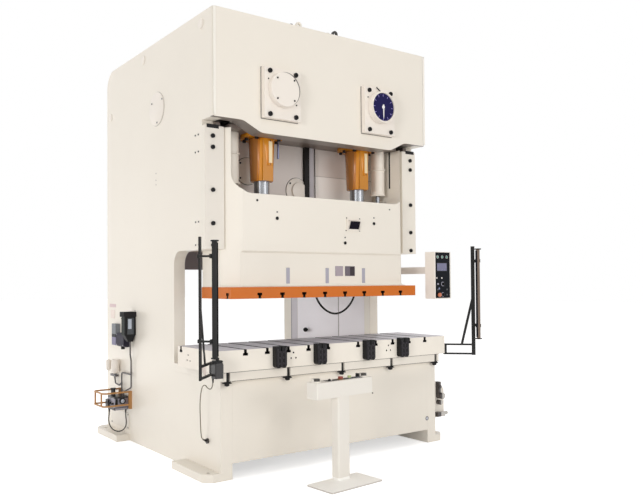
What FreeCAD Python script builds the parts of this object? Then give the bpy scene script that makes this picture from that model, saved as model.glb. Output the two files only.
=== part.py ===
import FreeCAD, Part
import math
import os
import re
import Sketcher
from FreeCAD import Placement, Rotation, Vector

# Mechanical stamping press with an open-sided frame and two plungers, shown at bottom dead centre.
# +X is to the operator's right, +Y is to the rear, +Z is up. The origin is the centre of the four
# anchor bolts, on the floor. All sizes are in millimetres.

doc = FreeCAD.newDocument("StampingPress")
sheet = doc.addObject("Spreadsheet::Sheet", "Sizes")

SIZES = (
    # frame
    ("frame_width", 2254, "over the two side frames"),
    ("frame_depth", 2195, "crown front to frame rear"),
    ("crown_rise", 575, "top of the crown above the crank axis"),
    ("crown_end_drop", 267, "underside of the crown's ends below the crank axis"),
    ("lip_drop", 82, "crown's middle lip below its ends"),
    ("lip_end_in", 47, "end of the lip's rise inside the slide's window"),
    ("lip_rise_run", 170, "length of the lip's rise along X"),
    ("lip_bend", 120, "radius of the lip's bends"),
    ("lip_depth", 150, "depth of the crown's front girder"),
    ("lip_plate", 32, "thickness of the lip's bottom plate"),
    ("front_plate", 45, "thickness of the crown's front plate"),
    ("crown_corner", 28, "radius of the crown's upright corners"),
    ("shell_plate", 40, "thickness of the crown's top and back plate"),
    ("rear_corner", 160, "radius of the frame's rear top corner"),
    ("shell_low", 1800, "lower edge of the back plate"),
    ("side_plate", 100, "thickness of one side frame"),
    ("column_setback", 182, "column front behind the crown front"),
    ("throat_top", 1729, "upper edge of the throat"),
    ("throat_reach", 682, "throat's rear edge behind the crown front"),
    ("throat_corner", 110, "radius of the throat's upper corner"),
    ("bed_height", 806, "top of the bed table"),
    ("bed_reach", 92, "bed front ahead of the crown front"),
    ("table_plate", 70, "thickness of the bed table"),
    ("table_reach", 50, "table edge ahead of the bed front"),
    ("apron_plate", 50, "thickness of the bed's front apron"),
    ("apron_gap", 118, "clear height under the apron"),
    ("foot_plate", 60, "thickness of the feet"),
    ("foot_side", 127, "feet beyond the side frame"),
    ("foot_length", 563, "length of each foot along Y"),
    ("foot_chamfer", 62, "chamfer of the feet's outer corners"),
    ("anchor_out", 68, "anchor bolts beyond the side frames"),
    ("anchor_front", 22, "front anchor bolts ahead of the crown front"),
    ("anchor_rear", 133, "rear anchor bolts ahead of the frame's rear"),
    ("anchor_radius", 18, "radius of the anchor holes"),
    # bolster
    ("bolster_over", 73, "bolster's ends beyond the side frames"),
    ("bolster_depth", 613, "depth of the bolster plate along Y"),
    ("bolster_thick", 161, "thickness of the bolster plate"),
    ("bolster_reach", 148, "bolster front ahead of the crown front"),
    ("slot_first", 160, "first bolster slot from the centre plane"),
    ("slot_pitch", 196, "pitch of the bolster slots"),
    ("slots_per_side", 5, "bolster slots on each side of the centre"),
    ("slot_neck", 24, "width of a slot's neck"),
    ("slot_head", 44, "width of a slot's head"),
    ("slot_head_height", 20, "height of a slot's head"),
    ("slot_depth", 46, "whole depth of a slot"),
    ("hold_in", 37, "outermost hold-down bolts inside the side frames' outer faces"),
    ("hold_radius", 12, "radius of a hold-down bolt"),
    ("notch_depth", 20, "centre of a hold-down notch behind the table edge"),
    # slide
    ("stroke", 250, "travel of the slide"),
    ("die_opening", 374, "bolster top to slide plate at bottom dead centre"),
    ("slide_side_room", 52, "slide's side to the side frame"),
    ("slide_setback", 60, "slide front behind the crown front"),
    ("slide_depth", 406, "depth of the slide"),
    ("slide_height", 742, "slide bottom to the top of its front wall"),
    ("slide_corner", 118, "bevel of the slide's front corners"),
    ("slide_step", 15, "upper front face proud of the lower one"),
    ("slide_step_height", 273, "place of that step above the slide bottom"),
    ("slide_flare", 38, "radius of the flare at the slide's foot"),
    ("flare_rim", 6, "thickness of the rim under the flare"),
    ("wing_thick", 68, "thickness of the slide's guide wings"),
    ("wing_rise", 516, "guide wings above the front wall"),
    ("window_corner", 150, "radius between the wings and the front wall"),
    ("knock_pitch", 406, "pitch of the knock-out slots"),
    ("knock_width", 32, "width of a knock-out slot"),
    ("knock_height", 155, "height of a knock-out slot"),
    ("knock_depth", 14, "depth of a knock-out slot"),
    ("plate_overhang", 5, "slide plate beyond the slide's sides"),
    ("plate_depth", 472, "depth of the slide plate"),
    ("plate_thick", 91, "thickness of the slide plate"),
    ("plate_setback", -1, "slide plate front behind the crown front"),
    ("plate_slot_pitch", 216, "pitch of the slide plate's slots"),
    ("plate_slots", 8, "slots in the slide plate"),
    ("plate_slot_shift", 37, "middle of the slot row from the centre plane"),
    # guides of the slide
    ("gib_width", 169, "width of a front gib plate"),
    ("gib_thick", 47, "thickness of a front gib plate"),
    ("gib_bevel_gap", 0.4, "running clearance at the bevelled faces"),
    ("liner_gap", 0.4, "running clearance at the side and rear liners"),
    ("rear_liner_width", 110, "width of a rear liner"),
    # drive
    ("gear_teeth", 51, "teeth of a main gear"),
    ("pinion_teeth", 14, "teeth of the drive pinion"),
    ("gear_face", 120, "face width of the main gears"),
    ("gear_setback", 620, "main gears behind the crown front"),
    ("crank_rise", 826, "crank axis above the slide's front wall at bottom dead centre"),
    ("plunger_setback", 272, "plunger axis behind the crown front"),
    ("journal_radius", 70, "radius of the crank journals"),
    ("pin_radius", 75, "radius of the crankpin"),
    ("pin_length", 136, "length of the crankpin"),
    ("web_plate", 45, "thickness of a crank web"),
    ("bush_wall", 20, "wall of the bearing bushes"),
    ("run_gap", 0.05, "radial running clearance of round fits"),
    ("wall_setback", 500, "front bearing wall behind the crown front"),
    ("wall_plate", 40, "thickness of the bearing walls"),
    ("wall_low", 1760, "lower edge of the front bearing wall"),
    ("rear_wall_setback", 900, "rear bearing wall behind the crown front"),
    ("case_drop", 800, "underside of the gear case floor below the crank axis"),
    ("case_floor_plate", 30, "thickness of the gear case floor"),
    ("crown_floor_drop", 43, "underside of the crown floor below the crown's ends"),
    ("crown_floor_plate", 36, "thickness of the crown floor"),
    ("flywheel_radius", 430, "radius of the flywheel"),
    ("flywheel_face", 190, "width of the flywheel rim"),
    ("flywheel_setback", 1010, "flywheel behind the crown front"),
    ("pulley_radius", 115, "radius of the motor pulley"),
    ("motor_in", 387, "motor axis inside the side frame"),
    ("motor_rise", 220, "motor axis above the gear case floor"),
    ("motor_radius", 170, "radius of the motor's barrel"),
    ("motor_length", 480, "length of the motor's barrel"),
    ("belt_thick", 9, "thickness of the drive belts"),
    ("belt_count", 5, "belts side by side"),
    # plungers and their guides
    ("plunger_radius", 65, "radius of a plunger"),
    ("guide_radius", 86, "outer radius of a plunger guide"),
    ("guide_length", 385, "length of the plunger guides"),
    ("guide_flange", 30, "thickness of a guide's flange"),
    ("guide_flange_room", 38, "guide's flange to the counterbalance cylinder"),
    ("guide_bolt_room", 23, "front bolts of a guide behind the crown's front girder"),
    ("guide_pad_width", 100, "width of the flat pad on a guide"),
    ("guide_pad_reach", 100, "front of that pad ahead of the plunger axis"),
    ("pocket_radius", 112, "radius of the slide's pockets for the guides"),
    ("pocket_depth", 160, "depth of those pockets"),
    ("rod_length", 315, "crankpin to wrist pin"),
    ("wrist_radius", 25, "radius of the wrist pin"),
    ("rod_thick", 56, "thickness of a connecting rod"),
    ("balance_in", 107, "counterbalance axis inside the guide wings"),
    ("balance_setback", 300, "counterbalance axis behind the crown front"),
    ("balance_radius", 64, "outer radius of a counterbalance cylinder"),
    ("balance_bore", 52, "bore radius of a counterbalance cylinder"),
    ("balance_length", 420, "length of the counterbalance cylinders"),
    ("balance_rod", 20, "radius of a counterbalance rod"),
    ("balance_pocket", 74, "radius of the slide's pockets for the cylinders"),
    ("balance_pocket_drop", 194, "floor of those pockets below the front wall"),
    # crank covers and crank angle dial
    ("cover_width", 350, "width of a crank cover plate"),
    ("cover_height", 404, "height of a crank cover plate"),
    ("cover_thick", 50, "thickness of a crank cover plate"),
    ("cover_drop", 30, "middle of the cover plate below the crank axis"),
    ("cap_radius", 138, "radius of the round bearing cap"),
    ("cap_thick", 45, "thickness of the round bearing cap"),
    ("dial_radius", 126, "radius of the dial"),
    ("dial_ring", 12, "width of the dial's housing ring"),
    ("dial_depth", 53, "depth of the dial's housing"),
    # light curtains
    ("curtain_reach_side", 187, "curtain post from its hinge, outwards"),
    ("curtain_reach_front", 180, "curtain post from its hinge, to the front"),
    ("junction_width", 66, "curtain's junction box along X"),
    ("junction_depth", 70, "junction box along Y"),
    ("junction_height", 110, "height of the junction box"),
    ("junction_reach", 112, "front of the junction box ahead of the bolster"),
    ("junction_drop", 184, "underside of the junction box below the bolster's top"),
    ("curtain_hinge_back", 18, "curtain hinge behind the bolster front"),
    ("curtain_hinge_out", 22, "curtain hinge beyond the bolster end"),
    ("curtain_low", 790, "underside of a curtain post"),
    ("curtain_post_length", 998, "length of a curtain post"),
    ("curtain_post_width", 34, "width of a curtain post"),
    ("curtain_rail_high", 878, "place of the upper rail"),
    ("curtain_rail_low", 794, "place of the lower rail"),
    ("curtain_rail_section", 16, "thickness of the rails"),
    ("bar_low", 945, "lower end of a light bar"),
    ("bar_length", 816, "length of a light bar"),
    ("bar_width", 30, "width of a light bar"),
    ("bar_offset", 117, "light bar beside its post"),
    ("bar_beyond", 35, "light bar beyond its post along the arm"),
    ("brace_width", 22, "width of a curtain's brace"),
    # operator panel
    ("panel_width", 214, "width of the operator panel"),
    ("panel_height", 446, "height of the operator panel"),
    ("panel_depth", 132, "depth of the operator panel"),
    ("panel_low", 1302, "underside of the operator panel"),
    ("panel_out", 223, "middle of the operator panel beyond the side frame"),
    ("panel_setback", 0, "panel front behind the crown front"),
    ("arm_height", 1574, "middle of the panel arm above the floor"),
    ("arm_section", 66, "height and width of the panel arm"),
    ("arm_pivot_setback", 760, "panel arm pivot behind the crown front"),
    ("arm_pivot_out", 62, "panel arm pivot beyond the side frame"),
    # two-hand control stand
    ("stand_side", -383, "stand column along X"),
    ("stand_front", -577, "stand column from the crown front"),
    ("stand_turn", 5, "turn of the stand about its column"),
    ("stand_base_width", 512, "width of the stand's foot"),
    ("stand_base_depth", 268, "depth of the stand's foot"),
    ("stand_base_plate", 12, "thickness of the stand's foot"),
    ("stand_base_side", -44, "foot middle from the column, along X"),
    ("stand_base_front", -88, "foot middle from the column, along Y"),
    ("stand_column_width", 120, "width of the stand's column"),
    ("stand_column_depth", 80, "depth of the stand's column"),
    ("stand_box_width", 568, "width of the button box"),
    ("stand_box_depth", 116, "depth of the button box"),
    ("stand_box_height", 118, "height of the button box"),
    ("stand_box_low", 626, "underside of the button box"),
    ("palm_spacing", 482, "distance between the palm buttons"),
    ("palm_radius", 27, "radius of a palm button"),
    ("button_travel", 6, "travel of the stand's push buttons"),
    # services on the side frames
    ("pump_setback", 1475, "lubrication pump behind the crown front"),
    ("pump_out", 110, "pump's tank out from the side frame"),
    ("pump_depth", 88, "pump's tank along Y"),
    ("pump_low", 992, "underside of the pump's tank"),
    ("pump_height", 168, "height of the pump's tank"),
    ("pump_lid", 46, "thickness of the pump's lid"),
    ("pump_funnel", 62, "height of the funnel under the tank"),
    ("spreader_gap", 37, "lubricant distributor behind the pump"),
    ("spreader_width", 185, "distributor along Y"),
    ("spreader_out", 72, "distributor out from the side frame"),
    ("spreader_low", 874, "underside of the distributor"),
    ("spreader_height", 126, "height of the distributor"),
    ("terminal_gap", 77, "terminal box behind the distributor"),
    ("terminal_width", 100, "terminal box along Y"),
    ("terminal_height", 205, "height of the terminal box"),
    ("valve_setback", 1630, "valve unit behind the crown front"),
    ("valve_width", 176, "valve unit along Y"),
    ("valve_out", 148, "valve unit out from the side frame"),
    ("valve_low", 292, "underside of the valve unit"),
    ("valve_height", 122, "height of the valve unit"),
    ("service_plate_width", 430, "cover plate under the valve unit along Y"),
    ("service_plate_height", 150, "height of that cover plate"),
    ("muffler_radius", 21, "radius of the exhaust silencer"),
    ("muffler_height", 72, "height of the exhaust silencer"),
    ("gauge_radius", 29, "radius of the pressure gauge"),
    ("guard_setback", 1587, "front of the valve guard behind the crown front"),
    ("guard_width", 250, "valve guard along Y"),
    ("guard_out", 270, "valve guard out from the side frame"),
    ("guard_low", 342, "lower rail of the valve guard"),
    ("guard_rise", 118, "upper rail above the lower one"),
    ("guard_rod", 8, "radius of the guard's rods"),
    ("pipe_radius", 7, "radius of the rigid pipes"),
    ("air_setback", 0, "air supply plate behind the crown front"),
    ("air_out", 213, "air supply plate out from the side frame"),
    ("air_low", 193, "underside of the air supply plate"),
    ("air_height", 355, "height of the air supply plate"),
    ("air_plate", 8, "thickness of the air supply plate"),
    ("air_valve_radius", 30, "radius of the air supply's main valve"),
    ("side_cover_drop", 15, "large side cover below the crank axis"),
    ("side_cover_radius", 146, "radius of the large side covers"),
    ("side_plug_radius", 40, "radius of the small side covers"),
    ("side_plug_drop", 87, "upper small side covers below the crown's top"),
    ("middle_cover_drop", 710, "middle wall cover below the crank axis"),
    ("outer_cover_drop", 545, "outer wall covers below the crank axis"),
    ("duct_side", 72, "black guard of the bearing wall from the centre plane"),
    ("duct_guard", 50, "width of that black guard"),
    ("duct_channel", 64, "width of the pale channel beside it"),
    ("lug_radius", 28, "radius of a lifting lug's eye"),
    ("lug_plate", 20, "thickness of a lifting lug"),
    ("wall_cover_radius", 116, "radius of the covers on the bearing wall"),
)

DERIVED = (
    ("half_width", "=frame_width / 2"),
    ("inner_half", "=frame_width / 2 - side_plate"),
    ("anchor_across", "=frame_width + 2 * anchor_out"),
    ("anchor_along", "=frame_depth + anchor_front - anchor_rear"),
    ("crown_front", "=anchor_front - anchor_along / 2"),
    ("frame_rear", "=crown_front + frame_depth"),
    ("bed_front", "=crown_front - bed_reach"),
    ("table_low", "=bed_height - table_plate"),
    ("table_front", "=crown_front - bed_reach - table_reach"),
    ("bolster_top", "=bed_height + bolster_thick"),
    ("bolster_front", "=crown_front - bolster_reach"),
    ("bolster_half", "=half_width + bolster_over"),
    ("hold_pitch", "=(half_width - hold_in) / 2"),
    ("plate_low", "=bed_height + bolster_thick + die_opening"),
    ("slide_low", "=bed_height + bolster_thick + die_opening + plate_thick"),
    ("shelf", "=bed_height + bolster_thick + die_opening + plate_thick + slide_height"),
    ("slide_half", "=inner_half - slide_side_room"),
    ("plate_half", "=slide_half + plate_overhang"),
    ("slide_front", "=crown_front + slide_setback"),
    ("slide_rear", "=crown_front + slide_setback + slide_depth"),
    ("window_half", "=slide_half - wing_thick"),
    ("wing_top", "=shelf + wing_rise"),
    ("crank_half", "=slide_half * 8 / 15"),
    ("gear_module", "=2 * crank_half / (gear_teeth + pinion_teeth)"),
    ("crank_height", "=shelf + crank_rise"),
    ("crown_top", "=crank_height + crown_rise"),
    ("crown_end_height", "=crank_height - crown_end_drop"),
    ("lip_height", "=crown_end_height - lip_drop"),
    ("lip_half_high", "=window_half - lip_end_in"),
    ("lip_half_low", "=lip_half_high - lip_rise_run"),
    ("crown_floor", "=crown_end_height - crown_floor_drop"),
    ("case_floor", "=crank_height - case_drop"),
    ("motor_height", "=case_floor + case_floor_plate + motor_rise"),
    ("motor_side", "=motor_in - inner_half"),
    ("guide_low", "=crown_floor - guide_length"),
    ("wrist_height", "=crank_height - stroke / 2 - rod_length"),
    ("balance_side", "=window_half - balance_in"),
    ("balance_low", "=crown_floor - balance_length"),
    ("balance_pocket_floor", "=shelf - balance_pocket_drop"),
    ("guide_flange_radius", "=balance_side - balance_radius - crank_half - guide_flange_room"),
    ("panel_side", "=half_width + panel_out"),
    ("spreader_setback", "=pump_setback + pump_depth + spreader_gap"),
    ("terminal_setback", "=spreader_setback + spreader_width + terminal_gap"),
    ("plunger_y", "=crown_front + plunger_setback"),
    ("throw", "=stroke / 2"),
    ("wall_front", "=crown_front + wall_setback"),
    ("column_front", "=crown_front + column_setback"),
    ("bush_radius", "=journal_radius + run_gap + bush_wall"),
    ("pinion_half", "=journal_radius * 0.6"),
    ("dial_front", "=crown_front - cover_thick - dial_depth"),
)

for number, (name, value, note) in enumerate(SIZES, start=1):
    sheet.set("A%d" % number, name)
    sheet.set("B%d" % number, str(value))
    sheet.set("C%d" % number, note)
    sheet.setAlias("B%d" % number, name)
for number, (name, formula) in enumerate(DERIVED, start=1):
    sheet.set("E%d" % number, name)
    sheet.set("F%d" % number, formula)
    sheet.setAlias("F%d" % number, name)
doc.recompute()

ALIASES = set(row[0] for row in SIZES + DERIVED)
nodes = {}


# ---------------------------------------------------------------- helpers


def bound(text):
    """The formula with each alias given as a cell of the sheet."""
    return re.sub(r"[a-z_]+",
                  lambda word: "Sizes." + word.group(0) if word.group(0) in ALIASES else word.group(0),
                  text)


def size(text):
    """The value of a formula over the sheet's cells."""
    return float(sheet.evalExpression(text))


def bind(item, prop, text):
    item.setExpression(prop, bound(str(text)))


def text_of(value):
    return value if isinstance(value, str) else repr(value)


def minus(high, low):
    return "(%s) - (%s)" % (text_of(high), text_of(low))


def block(x, y, z, name="Block"):
    """A box between two places on each axis."""
    box = doc.addObject("Part::Box", name)
    for prop, axis, (low, high) in (("Length", "x", x), ("Width", "y", y), ("Height", "z", z)):
        bind(box, prop, minus(high, low))
        bind(box, "Placement.Base." + axis, text_of(low))
    return box


TURN = {
    "z": Rotation(),
    "y": Rotation(Vector(1, 0, 0), -90),
    "x": Rotation(Vector(0, 1, 0), 90),
}


def cylinder(radius, length, start, axis="z", name="Cylinder"):
    """A cylinder that begins at start and runs along +axis."""
    rod = doc.addObject("Part::Cylinder", name)
    rod.Placement = Placement(Vector(), TURN[axis])
    bind(rod, "Radius", text_of(radius))
    bind(rod, "Height", text_of(length))
    for key, value in zip("xyz", start):
        bind(rod, "Placement.Base." + key, text_of(value))
    return rod


def fuse(items, name="Fusion"):
    joined = doc.addObject("Part::MultiFuse", name)
    joined.Shapes = items
    return joined


def cut(base, tools, name="Cut"):
    """The base less every tool."""
    result = doc.addObject("Part::Cut", name)
    result.Base = base
    result.Tool = tools[0] if len(tools) == 1 else fuse(tools, name + "Tools")
    return result


def together(items, name="Group"):
    """Separate solids kept in one sub-part."""
    group = doc.addObject("Part::Compound", name)
    group.Links = items
    return group


def solid_feature(shape, name):
    item = doc.addObject("Part::Feature", name)
    item.Shape = shape
    return item


def node(name, item):
    item.Label = name
    nodes[name] = item
    return item


def upright(shape, least):
    """The edges of a shape that stand upright and are longer than the least length."""
    return [edge for edge in shape.Edges if abs(edge.Vertexes[0].Z - edge.Vertexes[1].Z) > least]


def new_body(name):
    return node(name, doc.addObject("PartDesign::Body", "Body_" + name))


def origin_plane(body, role):
    return [item for item in body.Origin.OriginFeatures if item.Role == role][0]


def new_sketch(body, role, offset="0"):
    sketch = body.newObject("Sketcher::SketchObject", "Sketch")
    sketch.AttachmentSupport = [(origin_plane(body, role), "")]
    sketch.MapMode = "FlatFace"
    bind(sketch, "AttachmentOffset.Base.z", offset)
    return sketch


def pin(sketch, kind, index, point, text):
    """Fix one coordinate of a point from the sheet."""
    text = text_of(text)
    place = sketch.addConstraint(Sketcher.Constraint(kind, -1, 1, index, point, size(text)))
    bind(sketch, "Constraints[%d]" % place, text)


def polygon(sketch, points):
    """A closed outline whose corners are bound to the sheet."""
    places = [Vector(size(text_of(u)), size(text_of(v)), 0) for u, v in points]
    first = sketch.GeometryCount
    count = len(places)
    for index in range(count):
        sketch.addGeometry(Part.LineSegment(places[index], places[(index + 1) % count]))
    for index in range(count):
        after = first + (index + 1) % count
        sketch.addConstraint(Sketcher.Constraint("Coincident", first + index, 2, after, 1))
    for index, (u, v) in enumerate(points):
        pin(sketch, "DistanceX", first + index, 1, u)
        pin(sketch, "DistanceY", first + index, 1, v)


def rectangle(sketch, u, v):
    polygon(sketch, [(u[0], v[0]), (u[1], v[0]), (u[1], v[1]), (u[0], v[1])])


def circle(sketch, u, v, radius):
    index = sketch.addGeometry(Part.Circle(Vector(size(text_of(u)), size(text_of(v)), 0), Vector(0, 0, 1),
                                           size(text_of(radius))))
    pin(sketch, "DistanceX", index, 3, u)
    pin(sketch, "DistanceY", index, 3, v)
    place = sketch.addConstraint(Sketcher.Constraint("Radius", index, size(text_of(radius))))
    bind(sketch, "Constraints[%d]" % place, text_of(radius))


def pad(body, sketch, length, backwards=False):
    feature = body.newObject("PartDesign::Pad", "Pad")
    feature.Profile = sketch
    feature.Reversed = backwards
    bind(feature, "Length", text_of(length))
    return feature


def pocket(body, sketch, length, backwards=False):
    """Cut the profile, and make sure that it did remove material."""
    before = body.Tip
    feature = body.newObject("PartDesign::Pocket", "Pocket")
    feature.Profile = sketch
    feature.Reversed = backwards
    bind(feature, "Length", text_of(length))
    doc.recompute()
    if feature.Shape.Volume >= before.Shape.Volume - 1e-3:
        raise RuntimeError("a pocket of %s cuts nothing" % body.Label)
    return feature


def pattern(body, feature, sketch, length, count, backwards=False):
    row = body.newObject("PartDesign::LinearPattern", "Row")
    row.Originals = [feature]
    row.Direction = (sketch, ["H_Axis"])
    row.Reversed = backwards
    bind(row, "Length", text_of(length))
    bind(row, "Occurrences", text_of(count))
    body.Tip = row
    return row


def edges_where(feature, axis, test):
    """Edges that run along an axis and whose two ends pass the test."""
    names = []
    for index, edge in enumerate(feature.Shape.Edges, start=1):
        ends = [vertex.Point for vertex in edge.Vertexes]
        if len(ends) != 2:
            continue
        run = ends[1] - ends[0]
        if abs(getattr(run, axis)) > run.Length * 0.999 and test(ends[0]) and test(ends[1]):
            names.append("Edge%d" % index)
    return names


def near(value, text):
    return abs(value - size(text)) < 0.01


def dress(body, kind, axis, test, amount):
    """Round or bevel the edges along an axis whose two ends pass the test."""
    doc.recompute()
    base = body.Tip
    feature = body.newObject("PartDesign::" + kind, kind)
    feature.Base = (base, edges_where(base, axis, test))
    bind(feature, "Radius" if kind == "Fillet" else "Size", text_of(amount))
    doc.recompute()
    return feature


# ---------------------------------------------------------------- frame


def side_frame(name, side):
    """One welded side frame with its throat, and the two feet that carry it."""
    body = new_body(name)
    inner = "inner_half" if side > 0 else "-half_width"
    sketch = new_sketch(body, "YZ_Plane", inner)
    polygon(sketch, [
        ("crown_front + front_plate", "crown_end_height"),
        ("crown_front + front_plate", "crown_top"),
        ("frame_rear", "crown_top"),
        ("frame_rear", "0"),
        ("bed_front", "0"),
        ("bed_front", "table_low"),
        ("crown_front + throat_reach", "table_low"),
        ("crown_front + throat_reach", "throat_top"),
        ("column_front", "throat_top"),
        ("column_front", "crown_end_height"),
    ])
    pad(body, sketch, "side_plate")
    dress(body, "Fillet", "x",
          lambda p: near(p.y, "crown_front + throat_reach") and near(p.z, "throat_top"),
          "throat_corner")
    dress(body, "Fillet", "x", lambda p: near(p.y, "frame_rear") and near(p.z, "crown_top"), "rear_corner")
    edge = "%d * half_width" % side
    rim = "%d * (half_width + foot_side)" % side
    bevel = "%d * (half_width + foot_side - foot_chamfer)" % side
    front = new_sketch(body, "XY_Plane")
    polygon(front, [
        (edge, "bed_front"),
        (bevel, "bed_front"),
        (rim, "bed_front + foot_chamfer"),
        (rim, "bed_front + foot_length"),
        (edge, "bed_front + foot_length"),
    ])
    pad(body, front, "foot_plate")
    rear = new_sketch(body, "XY_Plane")
    polygon(rear, [
        (edge, "frame_rear"),
        (bevel, "frame_rear"),
        (rim, "frame_rear - foot_chamfer"),
        (rim, "frame_rear - foot_length"),
        (edge, "frame_rear - foot_length"),
    ])
    pad(body, rear, "foot_plate")
    doc.recompute()
    holes = new_sketch(body, "XY_Plane")
    for end in (-1, 1):
        circle(holes, "%d * anchor_across / 2" % side, "%d * anchor_along / 2" % end, "anchor_radius")
    pocket(body, holes, "foot_plate", backwards=True)
    return body


def bed():
    """Table, front apron, rear plate and ribs between the side frames, and the tie plate at the rear."""
    body = new_body("bed")
    sketch = new_sketch(body, "XY_Plane", "table_low")
    rectangle(sketch, ("-half_width", "half_width"), ("table_front", "crown_front + throat_reach"))
    pad(body, sketch, "table_plate")
    doc.recompute()
    notch = new_sketch(body, "XY_Plane", "table_low")
    rectangle(notch, ("-hold_radius - 4", "hold_radius + 4"),
              ("table_front - 5", "table_front + notch_depth + hold_radius + 4"))
    middle = pocket(body, notch, "table_plate", backwards=True)
    for backwards in (False, True):
        pattern(body, middle, notch, "2 * hold_pitch", 3, backwards)
    doc.recompute()
    plan = new_sketch(body, "XY_Plane", "apron_gap")
    rectangle(plan, ("-inner_half", "inner_half"), ("bed_front", "bed_front + apron_plate"))
    pad(body, plan, "table_low - apron_gap")
    back = new_sketch(body, "XY_Plane", "apron_gap")
    rectangle(back, ("-inner_half", "inner_half"),
              ("crown_front + throat_reach - apron_plate", "crown_front + throat_reach"))
    pad(body, back, "table_low - apron_gap")
    for place in ("-inner_half / 3", "inner_half / 3"):
        rib = new_sketch(body, "XY_Plane", "apron_gap")
        rectangle(rib, (place + " - 15", place + " + 15"),
                  ("bed_front + apron_plate", "crown_front + throat_reach - apron_plate"))
        pad(body, rib, "table_low - apron_gap")
    doc.recompute()
    tie = block(("-inner_half", "inner_half"), ("frame_rear - 90", "frame_rear - 50"),
                ("foot_plate", "table_low"), "RearTie")
    return node("bed", together([body, tie], "BedAndTie"))


def slot_profile(sketch, middle, face, side):
    """Outline of one T-slot that opens at a face; side is -1 where the slot goes down from it."""
    neck = "slot_neck / 2"
    head = "slot_head / 2"
    shoulder = "%s + %d * (slot_depth - slot_head_height)" % (face, side)
    floor = "%s + %d * slot_depth" % (face, side)
    polygon(sketch, [
        ("%s - %s" % (middle, neck), "%s - %d * 3" % (face, side)),
        ("%s + %s" % (middle, neck), "%s - %d * 3" % (face, side)),
        ("%s + %s" % (middle, neck), shoulder),
        ("%s + %s" % (middle, head), shoulder),
        ("%s + %s" % (middle, head), floor),
        ("%s - %s" % (middle, head), floor),
        ("%s - %s" % (middle, head), shoulder),
        ("%s - %s" % (middle, neck), shoulder),
    ])


def bolster():
    """Bolster plate with its rows of T-slots and tapped holes."""
    body = new_body("bolster")
    plan = new_sketch(body, "XY_Plane", "bed_height")
    rectangle(plan, ("-bolster_half", "bolster_half"), ("bolster_front", "bolster_front + bolster_depth"))
    pad(body, plan, "bolster_thick")
    doc.recompute()
    for side in (1, -1):
        slot = new_sketch(body, "XZ_Plane", "-bolster_front")
        slot_profile(slot, "%d * slot_first" % side, "bolster_top", -1)
        first = pocket(body, slot, "bolster_depth", backwards=False)
        pattern(body, first, slot, "slot_pitch * (slots_per_side - 1)", "slots_per_side", side < 0)
        doc.recompute()
    face = new_sketch(body, "XZ_Plane", "-bolster_front")
    for side in (-1, 1):
        middle = "%d * (slot_first + 1.75 * slot_pitch)" % side
        for shift, drop in ((-23, 92), (0, 50), (23, 92)):
            circle(face, "%s + %d" % (middle, shift), "bolster_top - %d" % drop, 7)
    pocket(body, face, 30)
    for side in (-1, 1):
        end = new_sketch(body, "YZ_Plane", "%d * bolster_half" % side)
        for shift, drop in ((-28, 103), (5, 60), (22, 100)):
            circle(end, "bolster_front + bolster_depth * 0.7 + %d" % shift, "bolster_top - %d" % drop, 7)
        slot_profile(end, "bolster_front + bolster_depth - 56", "bolster_top", -1)
        pocket(body, end, 12, backwards=side < 0)
    return body


def hexagon(radius, z_low, z_high, x, y):
    corners = [Vector(x + radius * math.cos(math.radians(60 * k)),
                      y + radius * math.sin(math.radians(60 * k)), z_low)
               for k in range(7)]
    return Part.Face(Part.makePolygon(corners)).extrude(Vector(0, 0, z_high - z_low))


def bolster_bolts():
    """Hold-down bolts that hang from the bolster through the notches of the table."""
    shapes = []
    radius = size("hold_radius")
    top = size("bed_height")
    low = size("table_low")
    y = size("table_front + notch_depth")
    for step in (-2, -1, 0, 1, 2):
        x = step * size("hold_pitch")
        shank = Part.makeCylinder(radius, top - low + 34, Vector(x, y, low - 34))
        washer = Part.makeCylinder(radius * 2.3, 8, Vector(x, y, low - 8))
        nut = hexagon(radius * 1.75, low - 30, low - 8, x, y)
        shapes.append(shank.fuse([washer, nut]).removeSplitter())
    return node("bolster_bolts", solid_feature(Part.makeCompound(shapes), "BolsterBolts"))


def die_arm_brackets():
    """Four brackets on the bolster's front that receive die-changing arms."""
    width = 100.0
    depth = 50.0
    low = size("bed_height") + 5
    high = size("bolster_top") + 11
    lobe = width / 4
    y = size("bolster_front") - depth
    shapes = []
    for middle in ("slot_first + slot_pitch / 2", "slot_first + slot_pitch * 2.5"):
        for side in (-1, 1):
            x = side * size(middle)
            left = x - width / 2
            right = x + width / 2
            outline = [
                Part.LineSegment(Vector(left, y, low + lobe), Vector(left, y, high)),
                Part.LineSegment(Vector(left, y, high), Vector(x - 5, y, high)),
                Part.LineSegment(Vector(x - 5, y, high), Vector(x - 5, y, high - 46)),
                Part.LineSegment(Vector(x - 5, y, high - 46), Vector(x + 5, y, high - 46)),
                Part.LineSegment(Vector(x + 5, y, high - 46), Vector(x + 5, y, high)),
                Part.LineSegment(Vector(x + 5, y, high), Vector(right, y, high)),
                Part.LineSegment(Vector(right, y, high), Vector(right, y, low + lobe)),
                Part.Arc(Vector(right, y, low + lobe), Vector(right - lobe, y, low),
                         Vector(x, y, low + lobe)),
                Part.Arc(Vector(x, y, low + lobe), Vector(left + lobe, y, low),
                         Vector(left, y, low + lobe)),
            ]
            face = Part.Face(Part.Wire([edge.toShape() for edge in outline]))
            shapes.append(face.extrude(Vector(0, depth, 0)))
    return node("die_arm_brackets", solid_feature(Part.makeCompound(shapes), "DieArmBrackets"))


# ---------------------------------------------------------------- crown


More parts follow.
